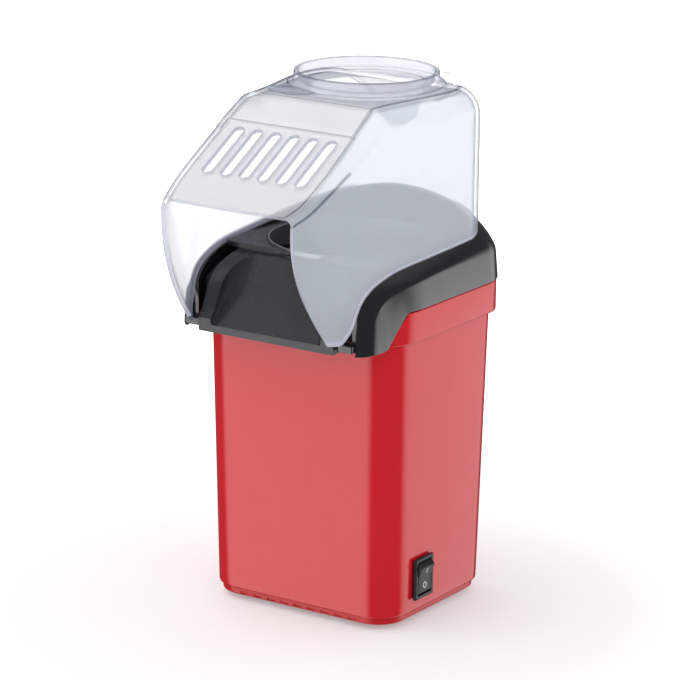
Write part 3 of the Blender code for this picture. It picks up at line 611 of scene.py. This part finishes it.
def make_body(materials):
    low, top = BODY_BOTTOM_Z, BODY_TOP_Z
    loops = fillet(body_section, low, 1.3, 1)
    loops += [body_section(low + (top - low) * i / 24) for i in range(1, 25)]
    loops += [body_section(top, WALL), body_section(low, WALL)]
    body = to_object("body_shell_skin", skin(loops, ring=True), materials["red"])

    def band_section(z, shrink=0.0):
        return rounded_rectangle([s - 2 * shrink for s in BAND_SIZE], BAND_CORNER - shrink, z)

    band = fillet(band_section, BAND_Z + 0.6, 1.0, 1)
    band += fillet(band_section, top, 0.6, -1)[::-1]
    band += [body_section(top, 1.2), body_section(BAND_Z + 0.6, 1.2)]
    join(body, skin(band, ring=True))
    (y0, z0), (y1, z1) = FRONT_CUT
    lean = (y1 - y0) / (z1 - z0)
    edge = [(y0 + (z - z0) * lean, z) for z in (140.0, top + 6)]
    cut(
        body,
        prism([edge[0], edge[1], (-90.0, top + 6), (-90.0, 140.0)], -80, 80),
        box((50, BEZEL_LOW.y + 1.3, BEZEL_LOW.z + 1.1), (70, BEZEL_HIGH.y - 1.3, BEZEL_HIGH.z - 1.1)),
        rod(5.4, (0, 40, 22), (0, 60, 22)),
    )
    finish_piece(body, "base", "body_shell", slot="red_plastic")
    bottom, high = PLINTH_LOW.z, BODY_BOTTOM_Z - GAP
    lip = WALL + GAP

    def plinth_section(z, shrink=0.0):
        return body_section(z, PLINTH_INSET + shrink)

    loops = fillet(plinth_section, bottom, 1.0, 1)
    loops += [
        body_section(high, PLINTH_INSET), body_section(high, lip), body_section(13.0, lip),
        body_section(13.0, lip + 1.8), body_section(bottom + 2.5, lip + 1.8),
    ]
    plinth = to_object("plinth", skin(loops), materials["red_plinth"])
    front = -BODY_LOW_SIZE[1] / 2 + PLINTH_INSET
    for i in range(9):
        x = (i - 4) * 8.6
        cut(plinth, box((x - 2.6, front - 2.0, 4.0), (x + 2.6, front + 0.7, 5.2)))
    for i in range(7):
        x = (i - 3) * 7.0
        outline = rounded_rectangle((3.0, 26.0), 1.49, 0.0, (x, 0.0), 4)
        cut(plinth, skin([[(px, py, z) for px, py, _z in outline] for z in (0.0, 9.0)]))
    for name in ("front_left", "front_right", "rear_left", "rear_right"):
        screw_low, screw_high = box_mm(f"base_screw_{name}")
        centre = (screw_low + screw_high) / 2
        spot = (centre.x, centre.y)
        cut(plinth, turned(((3.6, 0.0), (3.6, 4.7)), spot, 32, ring=False))
        cut(plinth, turned(((1.8, 0.0), (1.8, 14.0)), spot, 24, ring=False))
        make_screw(f"base_screw_{name}", materials)
        make_foot(f"foot_{name}", materials)
    finish_piece(plinth, "base", "base_plate", slot="red_plastic")


def make_screw(node, materials):
    """A pan-head screw with a cross recess in the head, which faces down."""
    low, high = box_mm(node)
    centre = (low + high) / 2
    head = (high.x - low.x) / 2
    profile = [
        (head * 0.55, low.z), (head * 0.85, low.z + 0.15), (head, low.z + 0.5), (head, low.z + 1.2),
        (head * 0.47, low.z + 1.3),
    ]
    turns = int((high.z - low.z - 2.0) / 1.0)
    for i in range(turns):
        z = low.z + 1.6 + i
        profile += [(head * 0.47, z), (head * 0.4, z + 0.5)]
    profile.append((head * 0.2, high.z))
    head_shape = turned(profile, (centre.x, centre.y), 32, ring=False)
    screw = to_object(f"{node}_head", head_shape, materials["steel"])
    for angle in (0.0, math.pi / 2):
        slot = box((-head * 0.55, -0.35, -1.0), (head * 0.55, 0.35, 0.75))
        spot = Matrix.Translation((centre.x, centre.y, low.z)) @ Matrix.Rotation(angle + 0.4, 4, "Z")
        transform(slot, spot)
        cut(screw, slot)
    finish_piece(screw, "base", node, slot="steel")


def make_foot(node, materials):
    low, high = box_mm(node)
    centre = (low + high) / 2
    radius, height = (high.x - low.x) / 2, high.z - low.z
    profile = [
        (radius - 3.2, 0.35), (radius - 2.6, 0.0), (radius - 0.7, 0.0), (radius - 0.2, 0.2),
        (radius, 0.7), (radius, height),
    ]
    pad = turned(profile, (centre.x, centre.y), 48, ring=False)
    foot = to_object(f"{node}_pad", pad, materials["rubber"])
    finish_piece(foot, "base", node, slot="rubber")


# ---------------------------------------------------------------- collar and chute


def collar_low(y):
    (y0, z0), (y1, z1) = FRONT_CUT
    slope = z0 + 0.7 + (y - y0) * (z1 - z0) / (y1 - y0)
    return min(max(slope, COLLAR_LOW.z), BODY_TOP_Z + GAP)


def shoulder(share):
    """How far the collar's shoulder has risen, from its outer side (0) to the rim (1)."""
    return (math.sqrt(1 - (1 - share) ** 2) + share) / 2


def make_collar(materials):
    outer, rim = collar_outer(), rim_outline(0.45)
    inner = rim_outline(-HOOD_WALL - 0.45)
    ledge = rim_outline(-HOOD_WALL - 1.85)
    rims = [rim_height(x, y) for x, y in rim]
    lows = [collar_low(y) for _, y in outer]
    starts = []
    for (_, y), low, top in zip(outer, lows, rims):
        start = min(COLLAR_SHOULDER_Z, rim_height(0, y - 4.0) - 8.0 if y < CORNER_Y else 400.0)
        starts.append(min(max(start, low + 1.0), top - 2.0))

    skirts = []
    for (_, y), low, top in zip(outer, lows, rims):
        share = clamp((-30.0 - y) / 15.0)
        skirts.append(max(low + 1.0, top - 12.0 - 26.0 * share))

    def inset(amount):
        return [
            (x - amount * (x - rx) / 8.0, y - amount * (y - ry) / 8.0) for (x, y), (rx, ry) in zip(outer, rim)
        ]

    def between(share):
        plan = [
            (ox + (rx - ox) * share, oy + (ry - oy) * share) for (ox, oy), (rx, ry) in zip(inset(0.9), rim)
        ]
        rise = shoulder(share)
        return mirrored(plan, [s + (z - s) * rise for s, z in zip(starts, rims)])

    loops = [mirrored(inset(0.7), lows), mirrored(inset(0.15), [z + 0.25 for z in lows])]
    loops.append(mirrored(outer, [z + 0.9 for z in lows]))
    loops += [between(share) for share in (0.0, 0.02, 0.06, 0.12, 0.2, 0.3, 0.42, 0.56, 0.7, 0.84, 0.94)]
    loops += [
        mirrored(rim_outline(0.55), [z - 0.1 for z in rims]),
        mirrored(rim_outline(0.4), [z - 0.25 for z in rims]),
        mirrored(rim_outline(0.35), [z - 2.1 for z in rims]),
        mirrored(inner, [z - 2.1 for z in rims]),
        mirrored(inner, [z - 0.5 for z in rims]),
        mirrored(ledge, [z - 0.4 for z in rims]),
        mirrored(ledge, skirts),
    ]
    collar = to_object("collar_skin", skin(loops, ring=True), materials["black"])
    cut(
        collar,
        box((-52.6, -95, 140), (52.6, -71.5, 230)),
        box((-CHUTE_HALF - GAP, -95, 140), (CHUTE_HALF + GAP, -40, 230)),
    )
    finish_piece(collar, "base", "collar", slot="black_plastic", angle=38.0)
    for side in ("left", "right"):
        low, high = box_mm(f"hood_clip_{side}")
        clip = to_object(f"hood_clip_{side}_block", box(low, high), materials["black"])
        soften(clip, 0.5)
        finish_piece(clip, "base", f"hood_clip_{side}", slot="black_plastic")


def chute_wall_top(y):
    return min(smooth_through(RIM_PROFILE, y), DECK_Z + 1.2) - 1.2


def channel_cutter():
    """The channel's hollow: rounded sections square to its floor, along the slope."""
    start = Vector((CHUTE_FRONT + 1.6, CHANNEL_FRONT_Z - 1.6))
    end = Vector((-THROAT_RADIUS + 1.5, DECK_Z + 1.5))
    along = (end - start).normalized()
    up = Vector((-along.y, along.x))
    loops = []
    steps = 14
    for i in range(steps + 1):
        t = i / steps
        spot = start + (end - start) * t
        radius = 4.0 + 7.0 * math.sin(math.pi * min(t, 0.999)) ** 1.2
        half = CHANNEL_HALF - 1.5 * smooth_step(t)
        right = []
        for step in range(9):
            angle = math.pi / 2 * step / 8
            right.append((half - radius * (1 - math.sin(angle)), radius * (1 - math.cos(angle))))
        section = [(-x, n) for x, n in right[::-1]] + right + [(half, 60.0), (-half, 60.0)]
        loops.append([(x, spot.x + up.x * n, spot.y + up.y * n) for x, n in section])
    return skin(loops)


def make_chute(materials):
    back = -26.0
    steps = [back, -34.0, -40.0, -46.0, -52.0, -56.0, -60.0, -64.0, -67.0, -70.0, -72.0, -74.0, -76.5]
    top_line = [(y, chute_wall_top(y)) for y in steps + [CHUTE_FRONT]]
    outline = [(CHUTE_FRONT, 156.9), (-57.5, 157.6), (-48.5, 176.0), (-34.0, 186.0), (back, 190.0)]
    chute = to_object("chute_skin", prism(outline + top_line, -CHUTE_HALF, CHUTE_HALF), materials["chute"])
    wing = [(y, chute_wall_top(y) - WING_DROP) for y in steps if y > -70.0]
    wing_low = [(-68.0, 162.0), (-57.5, 164.0), (-48.5, 176.0), (-34.0, 186.0), (back, 190.0)]
    join(chute, prism(wing_low + wing, -WING_HALF, WING_HALF))
    inside = rim_outline(-HOOD_WALL - GAP - 1.4 - 0.5)
    kept = [p for p in inside if p[1] > -44.0] + [(CHUTE_HALF - 2, -44.0), (0.0, -44.0)]
    low = DECK_Z - 3.0
    join(chute, skin([mirrored(kept, [z] * len(kept)) for z in (low, DECK_Z)]))
    tube = turned(((THROAT_RADIUS + 2, low + 1), (THROAT_RADIUS + 0.5, CHAMBER_HIGH.z + 1)), ring=False)
    join(chute, tube)
    cut(chute, channel_cutter())
    bore = (
        (THROAT_RADIUS - 1.8, CHAMBER_HIGH.z - 20), (THROAT_RADIUS - 1.8, CHAMBER_HIGH.z + 4),
        (THROAT_RADIUS, 185.0), (THROAT_RADIUS, DECK_Z + 20),
    )
    cut(chute, turned(bore, ring=False))
    soften(chute, 0.7, 50.0)
    finish_piece(chute, "base", "chute", slot="black_plastic")
    radius, low, high = THROAT_HIGH.x, THROAT_LOW.z, THROAT_HIGH.z
    profile = rounded_profile(
        [(radius - 0.2, low), (radius, high), (radius - 1.2, high), (radius - 1.4, low)], 0.4
    )
    ring = to_object("throat_edge", turned(profile), materials["dull"])
    finish_piece(ring, "base", "throat_ring", slot="aluminium")


# ---------------------------------------------------------------- hood


def roof_height(y):
    (y0, z0), (y1, z1) = LIP, ROOF_FRONT
    if y <= y1:
        step = CREASE_STEP * (1 - smooth_step((y - CREASE_Y + 0.6) / 1.2))
        step *= smooth_step((y - y0) / 10.0)
        return z0 + (y - y0) * (z1 - z0) / (y1 - y0) - step
    drop_from = HOOD_REAR - REAR_ROUND
    if y <= drop_from:
        return z1
    return z1 - REAR_ROUND + math.sqrt(max(REAR_ROUND**2 - (y - drop_from) ** 2, 0.0))


def hood_stations():
    stations = [LIP[0] + (CREASE_Y - 0.6 - LIP[0]) * i / 16 for i in range(17)]
    stations += [CREASE_Y - 0.2, CREASE_Y + 0.2, CREASE_Y + 0.6]
    low, high = ROOF_FRONT[0] - 0.3, ROOF_FRONT[0] + 0.3
    stations += [CREASE_Y + 0.6 + (low - CREASE_Y - 0.6) * i / 6 for i in range(1, 7)]
    stations += [high + (CORNER_Y - high) * i / 14 for i in range(15)]
    stations += [CORNER_Y + HOOD_CORNER * math.sin(math.pi / 2 * i / 20) for i in range(1, 21)]
    return stations


def roof_inset(station):
    """How far the walls lean in at roof height: most where the roof turns flat, none at the rear."""
    share = clamp((station - LIP[0]) / (ROOF_FRONT[0] - LIP[0]))
    back = smooth_step((station - ROOF_FRONT[0]) / (CORNER_Y - ROOF_FRONT[0]))
    inset = ROOF_INSET[0] + (ROOF_INSET[1] - ROOF_INSET[0]) * share
    return inset * (1 - back)


def share_down(top, z):
    """How far down the mouth's height z is below the roof, from 0 to 1."""
    return clamp((top - z) / (LIP[1] - TIP[1]))


def wall_inset(station, y, z, top):
    """How far the wall stands in from the rim's width: more towards the roof, and more at the mouth."""
    rim = smooth_through(RIM_PROFILE, min(max(y, RIM_PROFILE[0][0]), CORNER_Y)) + INSET_START
    height = clamp((z - rim) / (top - rim))
    down = share_down(top, z)
    at_mouth = MOUTH_INSET[0] + (MOUTH_INSET[1] - MOUTH_INSET[0]) * down
    at_mouth *= math.exp((LIP[0] - station) / MOUTH_INSET_REACH)
    return roof_inset(station) * height**1.2 + at_mouth


def hood_section(station):
    """Points of one cross-section, from the left lower edge over the roof to the right lower edge."""
    top = roof_height(station)
    fade = max(1.0 - (station - LIP[0]) / LEAN_REACH, 0.0)
    lean = fade * (TIP[0] - LIP[0]) / (LIP[1] - TIP[1])
    radius = ROOF_ROUND[0] + ROOF_ROUND[1] * smooth_step((station - LIP[0]) / 110.0)
    radius = min(radius, REAR_ROUND + 1e-3 + (HOOD_REAR - station))

    def side_point(z, inwards=0.0):
        down = share_down(top, z)
        bow = (MOUTH_BOW * 4 * down * (1 - down) + CORNER_FORWARD * down**2) * fade
        y = min(max(station + lean * (top - z) - bow, HOOD_FRONT), HOOD_REAR)
        inset = inwards + wall_inset(station, y, z, top)
        return (hood_half_width(y, y - mouth_y(z)) - inset, y, z)

    arc_steps = 8
    half = []
    for i in range(arc_steps + 1):
        angle = math.pi / 2 * i / arc_steps
        half.append(side_point(top - radius * (1 - math.sin(angle)), radius * (1 - math.cos(angle))))
    low = top - radius
    below, above = 150.0, 225.0
    for _ in range(40):
        wall_low = (below + above) / 2
        x, y, _z = side_point(wall_low)
        if wall_low < rim_height(x, y) - RIM_SINK + FRONT_LIFT * clamp((-62.0 - y) / 6.0):
            below = wall_low
        else:
            above = wall_low
    # the lowest strip of the wall, 2.5 mm tall, is kept apart for a painted highlight line along the hood's
    # lower edge
    painted_highlight_top = wall_low + 2.5
    wall = [side_point(wall_low)] + [side_point(painted_highlight_top + (low - painted_highlight_top) * i / 13) for i in range(13)]
    right = wall + half
    inner_x, inner_y = right[-1][0], right[-1][1]
    right += [(inner_x * (1 - i / 5), inner_y, top) for i in range(1, 6)]
    left = [(-x, y, z) for x, y, z in right[:-1]]
    return left + right[::-1]


def make_hood(materials):
    made = bmesh.new()
    stations = hood_stations()
    rows = [[made.verts.new(p) for p in hood_section(s)] for s in stations]
    last = len(rows[0]) - 2
    for row, (front, back) in enumerate(zip(rows, rows[1:])):
        sloping = stations[row + 1] <= ROOF_FRONT[0] + 1e-6
        middle = (stations[row] + stations[row + 1]) / 2
        row_is_crease = min(abs(middle - CREASE_Y), abs(middle - ROOF_FRONT[0])) < 0.15
        for i in range(last + 1):
            face = made.faces.new((front[i], front[i + 1], back[i + 1], back[i]))
            from_edge = min(i, last - i)
            # strips on the bends and across the crease take the painted dark lines, a painted reflection
            lines = LEFT_PAINTED_LINES if i < last / 2 and sloping else BEND_PAINTED_LINES[middle < WEDGE_END]
            across = row_is_crease and from_edge > ROOF_STRIP
            if from_edge in lines or across:
                face.material_index = PAINTED_LINE_FACE
            elif from_edge > ROOF_STRIP:
                face.material_index = ROOF_FACE
            # the lowest strip on each side takes the edge look as a painted highlight line
            elif from_edge == 0:
                face.material_index = EDGE_AND_HIGHLIGHT_FACE
    made.faces.new(rows[-1][::-1])
    hood = to_object("hood_skin", made, materials["clear"])
    for look in ("clear_edge_and_highlight", "clear_painted_line", "clear_roof", "clear_edge_and_highlight"):
        hood.data.materials.append(materials[look])
    centre = Vector((0, AXIS_Y, 220)) * MM
    if sum(face.normal.dot(face.center - centre) for face in hood.data.polygons) < 0:
        hood.data.flip_normals()
    shell = hood.modifiers.new("Wall", "SOLIDIFY")
    shell.thickness = HOOD_WALL * MM
    shell.offset = -1.0
    shell.use_even_offset = True
    shell.material_offset_rim = EDGE_AND_HIGHLIGHT_FACE
    realise(hood)
    arch = [(x, rim_height(x, HOOD_REAR) - RIM_SINK) for x in (CORNER_X * (i / 12 - 1) for i in range(25))]
    ends = [(CORNER_X - 0.05, 150.0), (0.05 - CORNER_X, 150.0)]
    cut(hood, side_prism(arch + ends, HOOD_REAR - 6, HOOD_REAR + 6))
    at = (0, RING_Y)
    top = ROOF_FRONT[1]
    cut(hood, turned(((RING_HOLE, top - 12), (RING_HOLE, top + 20)), at, ring=False))
    ring = rounded_profile(
        [
            (RING_RADIUS + 4.0, top - 1.2), (RING_RADIUS + 3.4, top + 1.6), (RING_RADIUS + 0.3, top + 2.2),
            (RING_RADIUS, RING_TOP_Z), (RING_RADIUS - 2.4, RING_TOP_Z), (RING_RADIUS - 2.6, top + 2.6),
            (RING_RADIUS - 7.2, top + 2.0), (RING_RADIUS - 7.4, top - 1.2),
        ],
        0.7,
    )
    join(hood, turned(ring, at), material=materials["clear_ring"])
    slope = math.atan2(ROOF_FRONT[1] - LIP[1], ROOF_FRONT[0] - LIP[0])
    middle = sum(VENT_ENDS) / 2
    half_length = (VENT_ENDS[1] - VENT_ENDS[0]) / 2 / math.cos(slope)
    for i in range(VENT_COUNT):
        x = (i - (VENT_COUNT - 1) / 2) * VENT_PITCH
        outline = rounded_rectangle((VENT_WIDTH, 2 * half_length), 3.0, 0.0, arc_steps=6)
        shape = skin([[(px, py, z) for px, py, _z in outline] for z in (-8.0, 8.0)])
        spot = Matrix.Translation((x, middle, roof_height(middle))) @ Matrix.Rotation(slope, 4, "X")
        transform(shape, spot)
        cut(hood, shape, material=materials["clear_edge_and_highlight"])
    # faces along the ring's corners also take the painted dark lines
    corners = ((0.0, RING_TOP_Z), (-2.4, RING_TOP_Z), (3.4, top + 1.6), (-7.2, top + 2.0))
    for face in hood.data.polygons:
        spot = face.center / MM - Vector((0, AXIS_Y + RING_Y, 0))
        away = math.hypot(spot.x, spot.y) - RING_RADIUS
        if any(math.hypot(away - r, spot.z - z) < 0.75 for r, z in corners):
            face.material_index = PAINTED_LINE_FACE
    finish_piece(hood, "hood", "hood", slot="clear_plastic", angle=30.0)
    make_hood_details(materials, top)


def make_hood_details(materials, top):
    """The tab beside the ring, the small lug behind it, and the curved blade under the roof."""
    corners = [(-34.5, -31.0), (-17.0, -36.5), (-5.5, -27.8), (-24.5, -22.5)]
    tab = to_object(
        "hood_tab",
        skin([[(x, y, z) for x, y in corners] for z in (top + 0.02, top + 2.2)]),
        materials["clear_ring"],
    )
    soften(tab, 0.8)
    finish_piece(tab, "hood", slot="clear_plastic")
    lug = to_object("hood_lug", box((29.0, 38.0, top + 0.02), (37.0, 43.5, top + 5.5)), materials["clear"])
    soften(lug, 1.2)
    finish_piece(lug, "hood", slot="clear_plastic")
    loops = []
    for i in range(19):
        angle = math.radians(-48 + 37 * i / 18)
        depth = 12.0 * math.sin(math.pi * i / 18) ** 0.35
        low = top - HOOD_WALL - max(depth, 0.8)
        section = []
        high = top - HOOD_WALL - 0.05
        for radius, z in ((37.0, low), (39.0, low), (39.0, high), (37.0, high)):
            section.append((radius * math.cos(angle), RING_Y + radius * math.sin(angle), z))
        loops.append(section)
    blade = to_object("hood_blade", skin(loops), materials["clear"])
    finish_piece(blade, "hood", slot="clear_plastic")


# ---------------------------------------------------------------- inside


def make_inside(materials):
    r = CHAMBER_HIGH.x - 4.5
    top, low = CHAMBER_HIGH.z, CHAMBER_LOW.z
    profile = [
        (r + 4.5, top), (r + 4.5, top - 1), (r + 1, top - 1), (r + 1, low + 8), (r - 8, low),
        (0.6, low), (0.6, low + 1), (r - 8.4, low + 1), (r, low + 8.4), (r, top),
    ]
    chamber = to_object("chamber_cup", turned(rounded_profile(profile, 0.8, 3)), materials["aluminium"])
    for i in range(10):
        turn = Matrix.Rotation(2 * math.pi * i / 10, 4, "Z")
        slot = box((r - 5, -1.6, low + 11), (r + 4, 1.6, low + 25))
        transform(slot, turn)
        cut(chamber, slot)
    finish_piece(chamber, "base", "popping_chamber", slot="aluminium")
    looks = {
        "heat_shield": "steel", "heater_frame": "mica", "heater_coil": "wire", "thermostat": "white",
        "thermal_fuse": "steel", "fan_housing": "dark", "impeller": "dark", "motor_can": "steel",
        "motor_endcap": "white", "motor_shaft": "steel", "motor_bracket": "steel",
        "motor_screw_left": "steel", "motor_screw_right": "steel", "rectifier_board": "board",
        "suppressor_capacitor": "white", "terminal_block": "white", "switch_terminal_upper": "brass",
        "switch_terminal_lower": "brass", "lead_switch": "lead_red", "lead_motor": "lead_blue",
    }
    for node, look in looks.items():
        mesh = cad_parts[node].data
        mesh.materials.clear()
        mesh.materials.append(materials[look])


def make_gland(materials):
    low, high = box_mm("cord_gland")
    radius = (high.x - low.x) / 2
    depth = high.y - low.y
    profile = rounded_profile(
        [(2.6, 0.0), (radius, 0.0), (radius, 2.6), (5.0, 2.6), (5.0, depth), (2.6, depth)], 0.6
    )
    made = turned(profile, segments=64)
    turn = Matrix.Translation((0, high.y, (low.z + high.z) / 2)) @ Matrix.Rotation(math.pi / 2, 4, "X")
    transform(made, turn)
    gland = to_object("inlet_bushing", made, materials["switch"])
    finish_piece(gland, "base", "cord_gland", slot="black_plastic")


# ---------------------------------------------------------------- switch


def make_switch(materials):
    mid_y, mid_z = (BEZEL_LOW.y + BEZEL_HIGH.y) / 2, (BEZEL_LOW.z + BEZEL_HIGH.z) / 2
    front = BEZEL_HIGH.x
    bezel = to_object(
        "switch_frame", box((front - 2.0, BEZEL_LOW.y, BEZEL_LOW.z), BEZEL_HIGH), materials["switch"]
    )
    soften(bezel, 0.7)
    back = BEZEL_LOW.x
    join(bezel, box((back, mid_y - 7.1, mid_z - 9.9), (front - 1, mid_y + 7.1, mid_z + 9.9)))
    clear = 6.6
    cut(bezel, box((back + 1.6, mid_y - clear, mid_z - 9.45), (front + 9, mid_y + clear, mid_z + 9.45)))
    finish_piece(bezel, "base", "switch_bezel", slot="black_plastic")
    pivot_x, radius, half_width = 57.0, 9.2, 6.3
    from_middle = 4.3
    flush = front - pivot_x
    tilt = math.radians(20.0)
    s, c = math.sin(tilt), math.cos(tilt)
    lower = -math.acos(flush / radius)
    reach = -flush * s + math.sqrt((flush * s) ** 2 - flush**2 + radius**2)
    upper = math.atan2(reach * c, flush + reach * s)
    outline = [(pivot_x + flush, mid_z)]
    arc = [upper + (math.radians(140) - upper) * i / 12 for i in range(13)]
    arc += [math.radians(-140) + (lower + math.radians(140)) * i / 12 for i in range(13)]
    outline += [(pivot_x + radius * math.cos(a), mid_z + radius * math.sin(a)) for a in arc]
    rocker = to_object(
        "switch_rocker_cap", side_prism(outline, mid_y - half_width, mid_y + half_width), materials["switch"]
    )
    soften(rocker, 0.35, 45.0)
    finish_piece(rocker, "rocker", "switch_rocker", slot="black_plastic")
    circle_profile = [(1.75, -0.1), (1.75, 0.12), (1.2, 0.12), (1.2, -0.1)]
    off_mark = turned(rounded_profile(circle_profile, 0.05), segments=32)
    on_mark = box((-0.1, -0.3, -1.6), (0.12, 0.3, 1.6))
    high_spot = (front + from_middle * s, mid_y, mid_z + from_middle * c)
    marks = (
        ("mark_off", off_mark, (front, mid_y, mid_z - from_middle), math.pi / 2),
        ("mark_on", on_mark, high_spot, tilt),
    )
    for name, shape, spot, turn in marks:
        transform(shape, Matrix.Translation(spot) @ Matrix.Rotation(turn, 4, "Y"))
        finish_piece(to_object(name, shape, materials["mark"]), "rocker", slot="white_plastic")


# ---------------------------------------------------------------- studio


def make_world():
    """White to the eye, brighter at the sides than above, and two tall soft boxes in reflections."""
    world = bpy.data.worlds.new("studio")
    bpy.context.scene.world = world
    world.use_nodes = True
    tree = world.node_tree
    tree.nodes.clear()
    out = add(tree, "ShaderNodeOutputWorld")
    path = add(tree, "ShaderNodeLightPath")
    where = add(tree, "ShaderNodeTexCoord")
    parts = add(tree, "ShaderNodeSeparateXYZ")
    link(tree, where.outputs["Generated"], parts.inputs["Vector"])
    level = add(tree, "ShaderNodeCombineXYZ")
    link(tree, parts.outputs["X"], level.inputs["X"])
    link(tree, parts.outputs["Y"], level.inputs["Y"])
    heading = add(tree, "ShaderNodeVectorMath", operation="NORMALIZE")
    link(tree, level.outputs["Vector"], heading.inputs[0])
    lit = []
    for bearing, half_width, brightness in SOFT_BOXES:
        towards = add(tree, "ShaderNodeVectorMath", operation="DOT_PRODUCT")
        angle = math.radians(bearing)
        towards.inputs[1].default_value = (math.cos(angle), math.sin(angle), 0.0)
        link(tree, heading.outputs["Vector"], towards.inputs[0])
        outer, inner = (math.cos(math.radians(half_width + soft)) for soft in SOFT_EDGE)
        lit.append(ramp(tree, towards.outputs["Value"], outer, inner, 0.0, brightness))
    below_top = ramp(tree, parts.outputs["Z"], 0.05, 0.3, 1.0, 0.0)
    boxes = maths(tree, "MULTIPLY", maths(tree, "MAXIMUM", *lit), below_top)
    overhead = ramp(tree, parts.outputs["Z"], 0.5, 0.9, 0.1, 0.55)
    glossy = add(tree, "ShaderNodeBackground")
    link(tree, maths(tree, "MAXIMUM", boxes, overhead), glossy.inputs["Strength"])
    ambient = add(tree, "ShaderNodeBackground")
    link(tree, ramp(tree, parts.outputs["Z"], 0.0, 1.0, *AMBIENT), ambient.inputs["Strength"])
    seen = add(tree, "ShaderNodeBackground")
    seen.inputs["Strength"].default_value = FAR_WHITE
    first = add(tree, "ShaderNodeMixShader")
    link(tree, path.outputs["Is Glossy Ray"], first.inputs["Fac"])
    link(tree, ambient.outputs["Background"], first.inputs[1])
    link(tree, glossy.outputs["Background"], first.inputs[2])
    second = add(tree, "ShaderNodeMixShader")
    link(tree, path.outputs["Is Camera Ray"], second.inputs["Fac"])
    link(tree, first.outputs["Shader"], second.inputs[1])
    link(tree, seen.outputs["Background"], second.inputs[2])
    link(tree, second.outputs["Shader"], out.inputs["Surface"])


def make_floor_paint():
    """White paper with a painted glow that only the camera sees, weak near the object and strong further
    away, so that the floor fades into the background and is left darker around the object.
    """
    paint = bpy.data.materials.new("floor_white")
    tree = tree_of(paint)
    shader = tree.nodes["Principled BSDF"]
    tone = colour_mix(tree, noise(tree, 0.7), (0.82, 0.82, 0.82), (0.81, 0.81, 0.81))
    link(tree, tone, shader.inputs["Base Color"])
    where = add(tree, "ShaderNodeTexCoord")
    length = add(tree, "ShaderNodeVectorMath", operation="LENGTH")
    link(tree, where.outputs["Object"], length.inputs[0])
    # painted glow: emission for camera rays only, weaker near the object
    glow = ramp(tree, length.outputs["Value"], *GLOW_RANGE, NEAR_GLOW, FAR_GLOW)
    path = add(tree, "ShaderNodeLightPath")
    seen = maths(tree, "MULTIPLY", glow, path.outputs["Is Camera Ray"])
    link(tree, seen, shader.inputs["Emission Strength"])
    shader.inputs["Emission Color"].default_value = (1.0, 1.0, 1.0, 1.0)
    shader.inputs["Roughness"].default_value = 0.7
    shader.inputs["Specular IOR Level"].default_value = 0.0
    return paint


def make_studio():
    made = bmesh.new()
    bmesh.ops.create_grid(made, x_segments=8, y_segments=8, size=8.0)
    mesh = bpy.data.meshes.new("studio_floor")
    made.to_mesh(mesh)
    made.free()
    floor = bpy.data.objects.new("studio_floor", mesh)
    bpy.context.scene.collection.objects.link(floor)
    mesh.materials.append(make_floor_paint())
    floor.visible_glossy = False
    data = bpy.data.lights.new("key_light", "SUN")
    data.energy = KEY
    data.angle = math.radians(KEY_SPREAD)
    key = bpy.data.objects.new("key_light", data)
    key.rotation_euler = Vector(KEY_FROM).to_track_quat("Z", "Y").to_euler()
    bpy.context.scene.collection.objects.link(key)


def make_camera():
    a, e, roll = (math.radians(v) for v in (AZIMUTH, ELEVATION, ROLL))
    back = Vector((math.sin(a) * math.cos(e), -math.cos(a) * math.cos(e), math.sin(e)))
    right = Vector((math.cos(a), math.sin(a), 0.0))
    up = back.cross(right)
    right, up = right * math.cos(roll) + up * math.sin(roll), up * math.cos(roll) - right * math.sin(roll)
    data = bpy.data.cameras.new("camera")
    data.lens = LENS
    data.sensor_width = 36.0
    data.shift_x, data.shift_y = SHIFT
    data.clip_end = 50.0
    camera = bpy.data.objects.new("camera", data)
    turn = Matrix((right, up, back)).transposed().to_4x4()
    camera.matrix_world = Matrix.Translation(Vector(LOOK_AT) + back * DISTANCE) @ turn
    bpy.context.scene.collection.objects.link(camera)
    bpy.context.scene.camera = camera


def main():
    make_camera()
    make_world()
    make_studio()
    materials = make_materials()
    make_body(materials)
    make_collar(materials)
    make_chute(materials)
    make_hood(materials)
    make_inside(materials)
    make_gland(materials)
    make_switch(materials)
    scene = bpy.context.scene
    scene.view_settings.view_transform = "Standard"
    scene.cycles.transparent_max_bounces = 32


main()
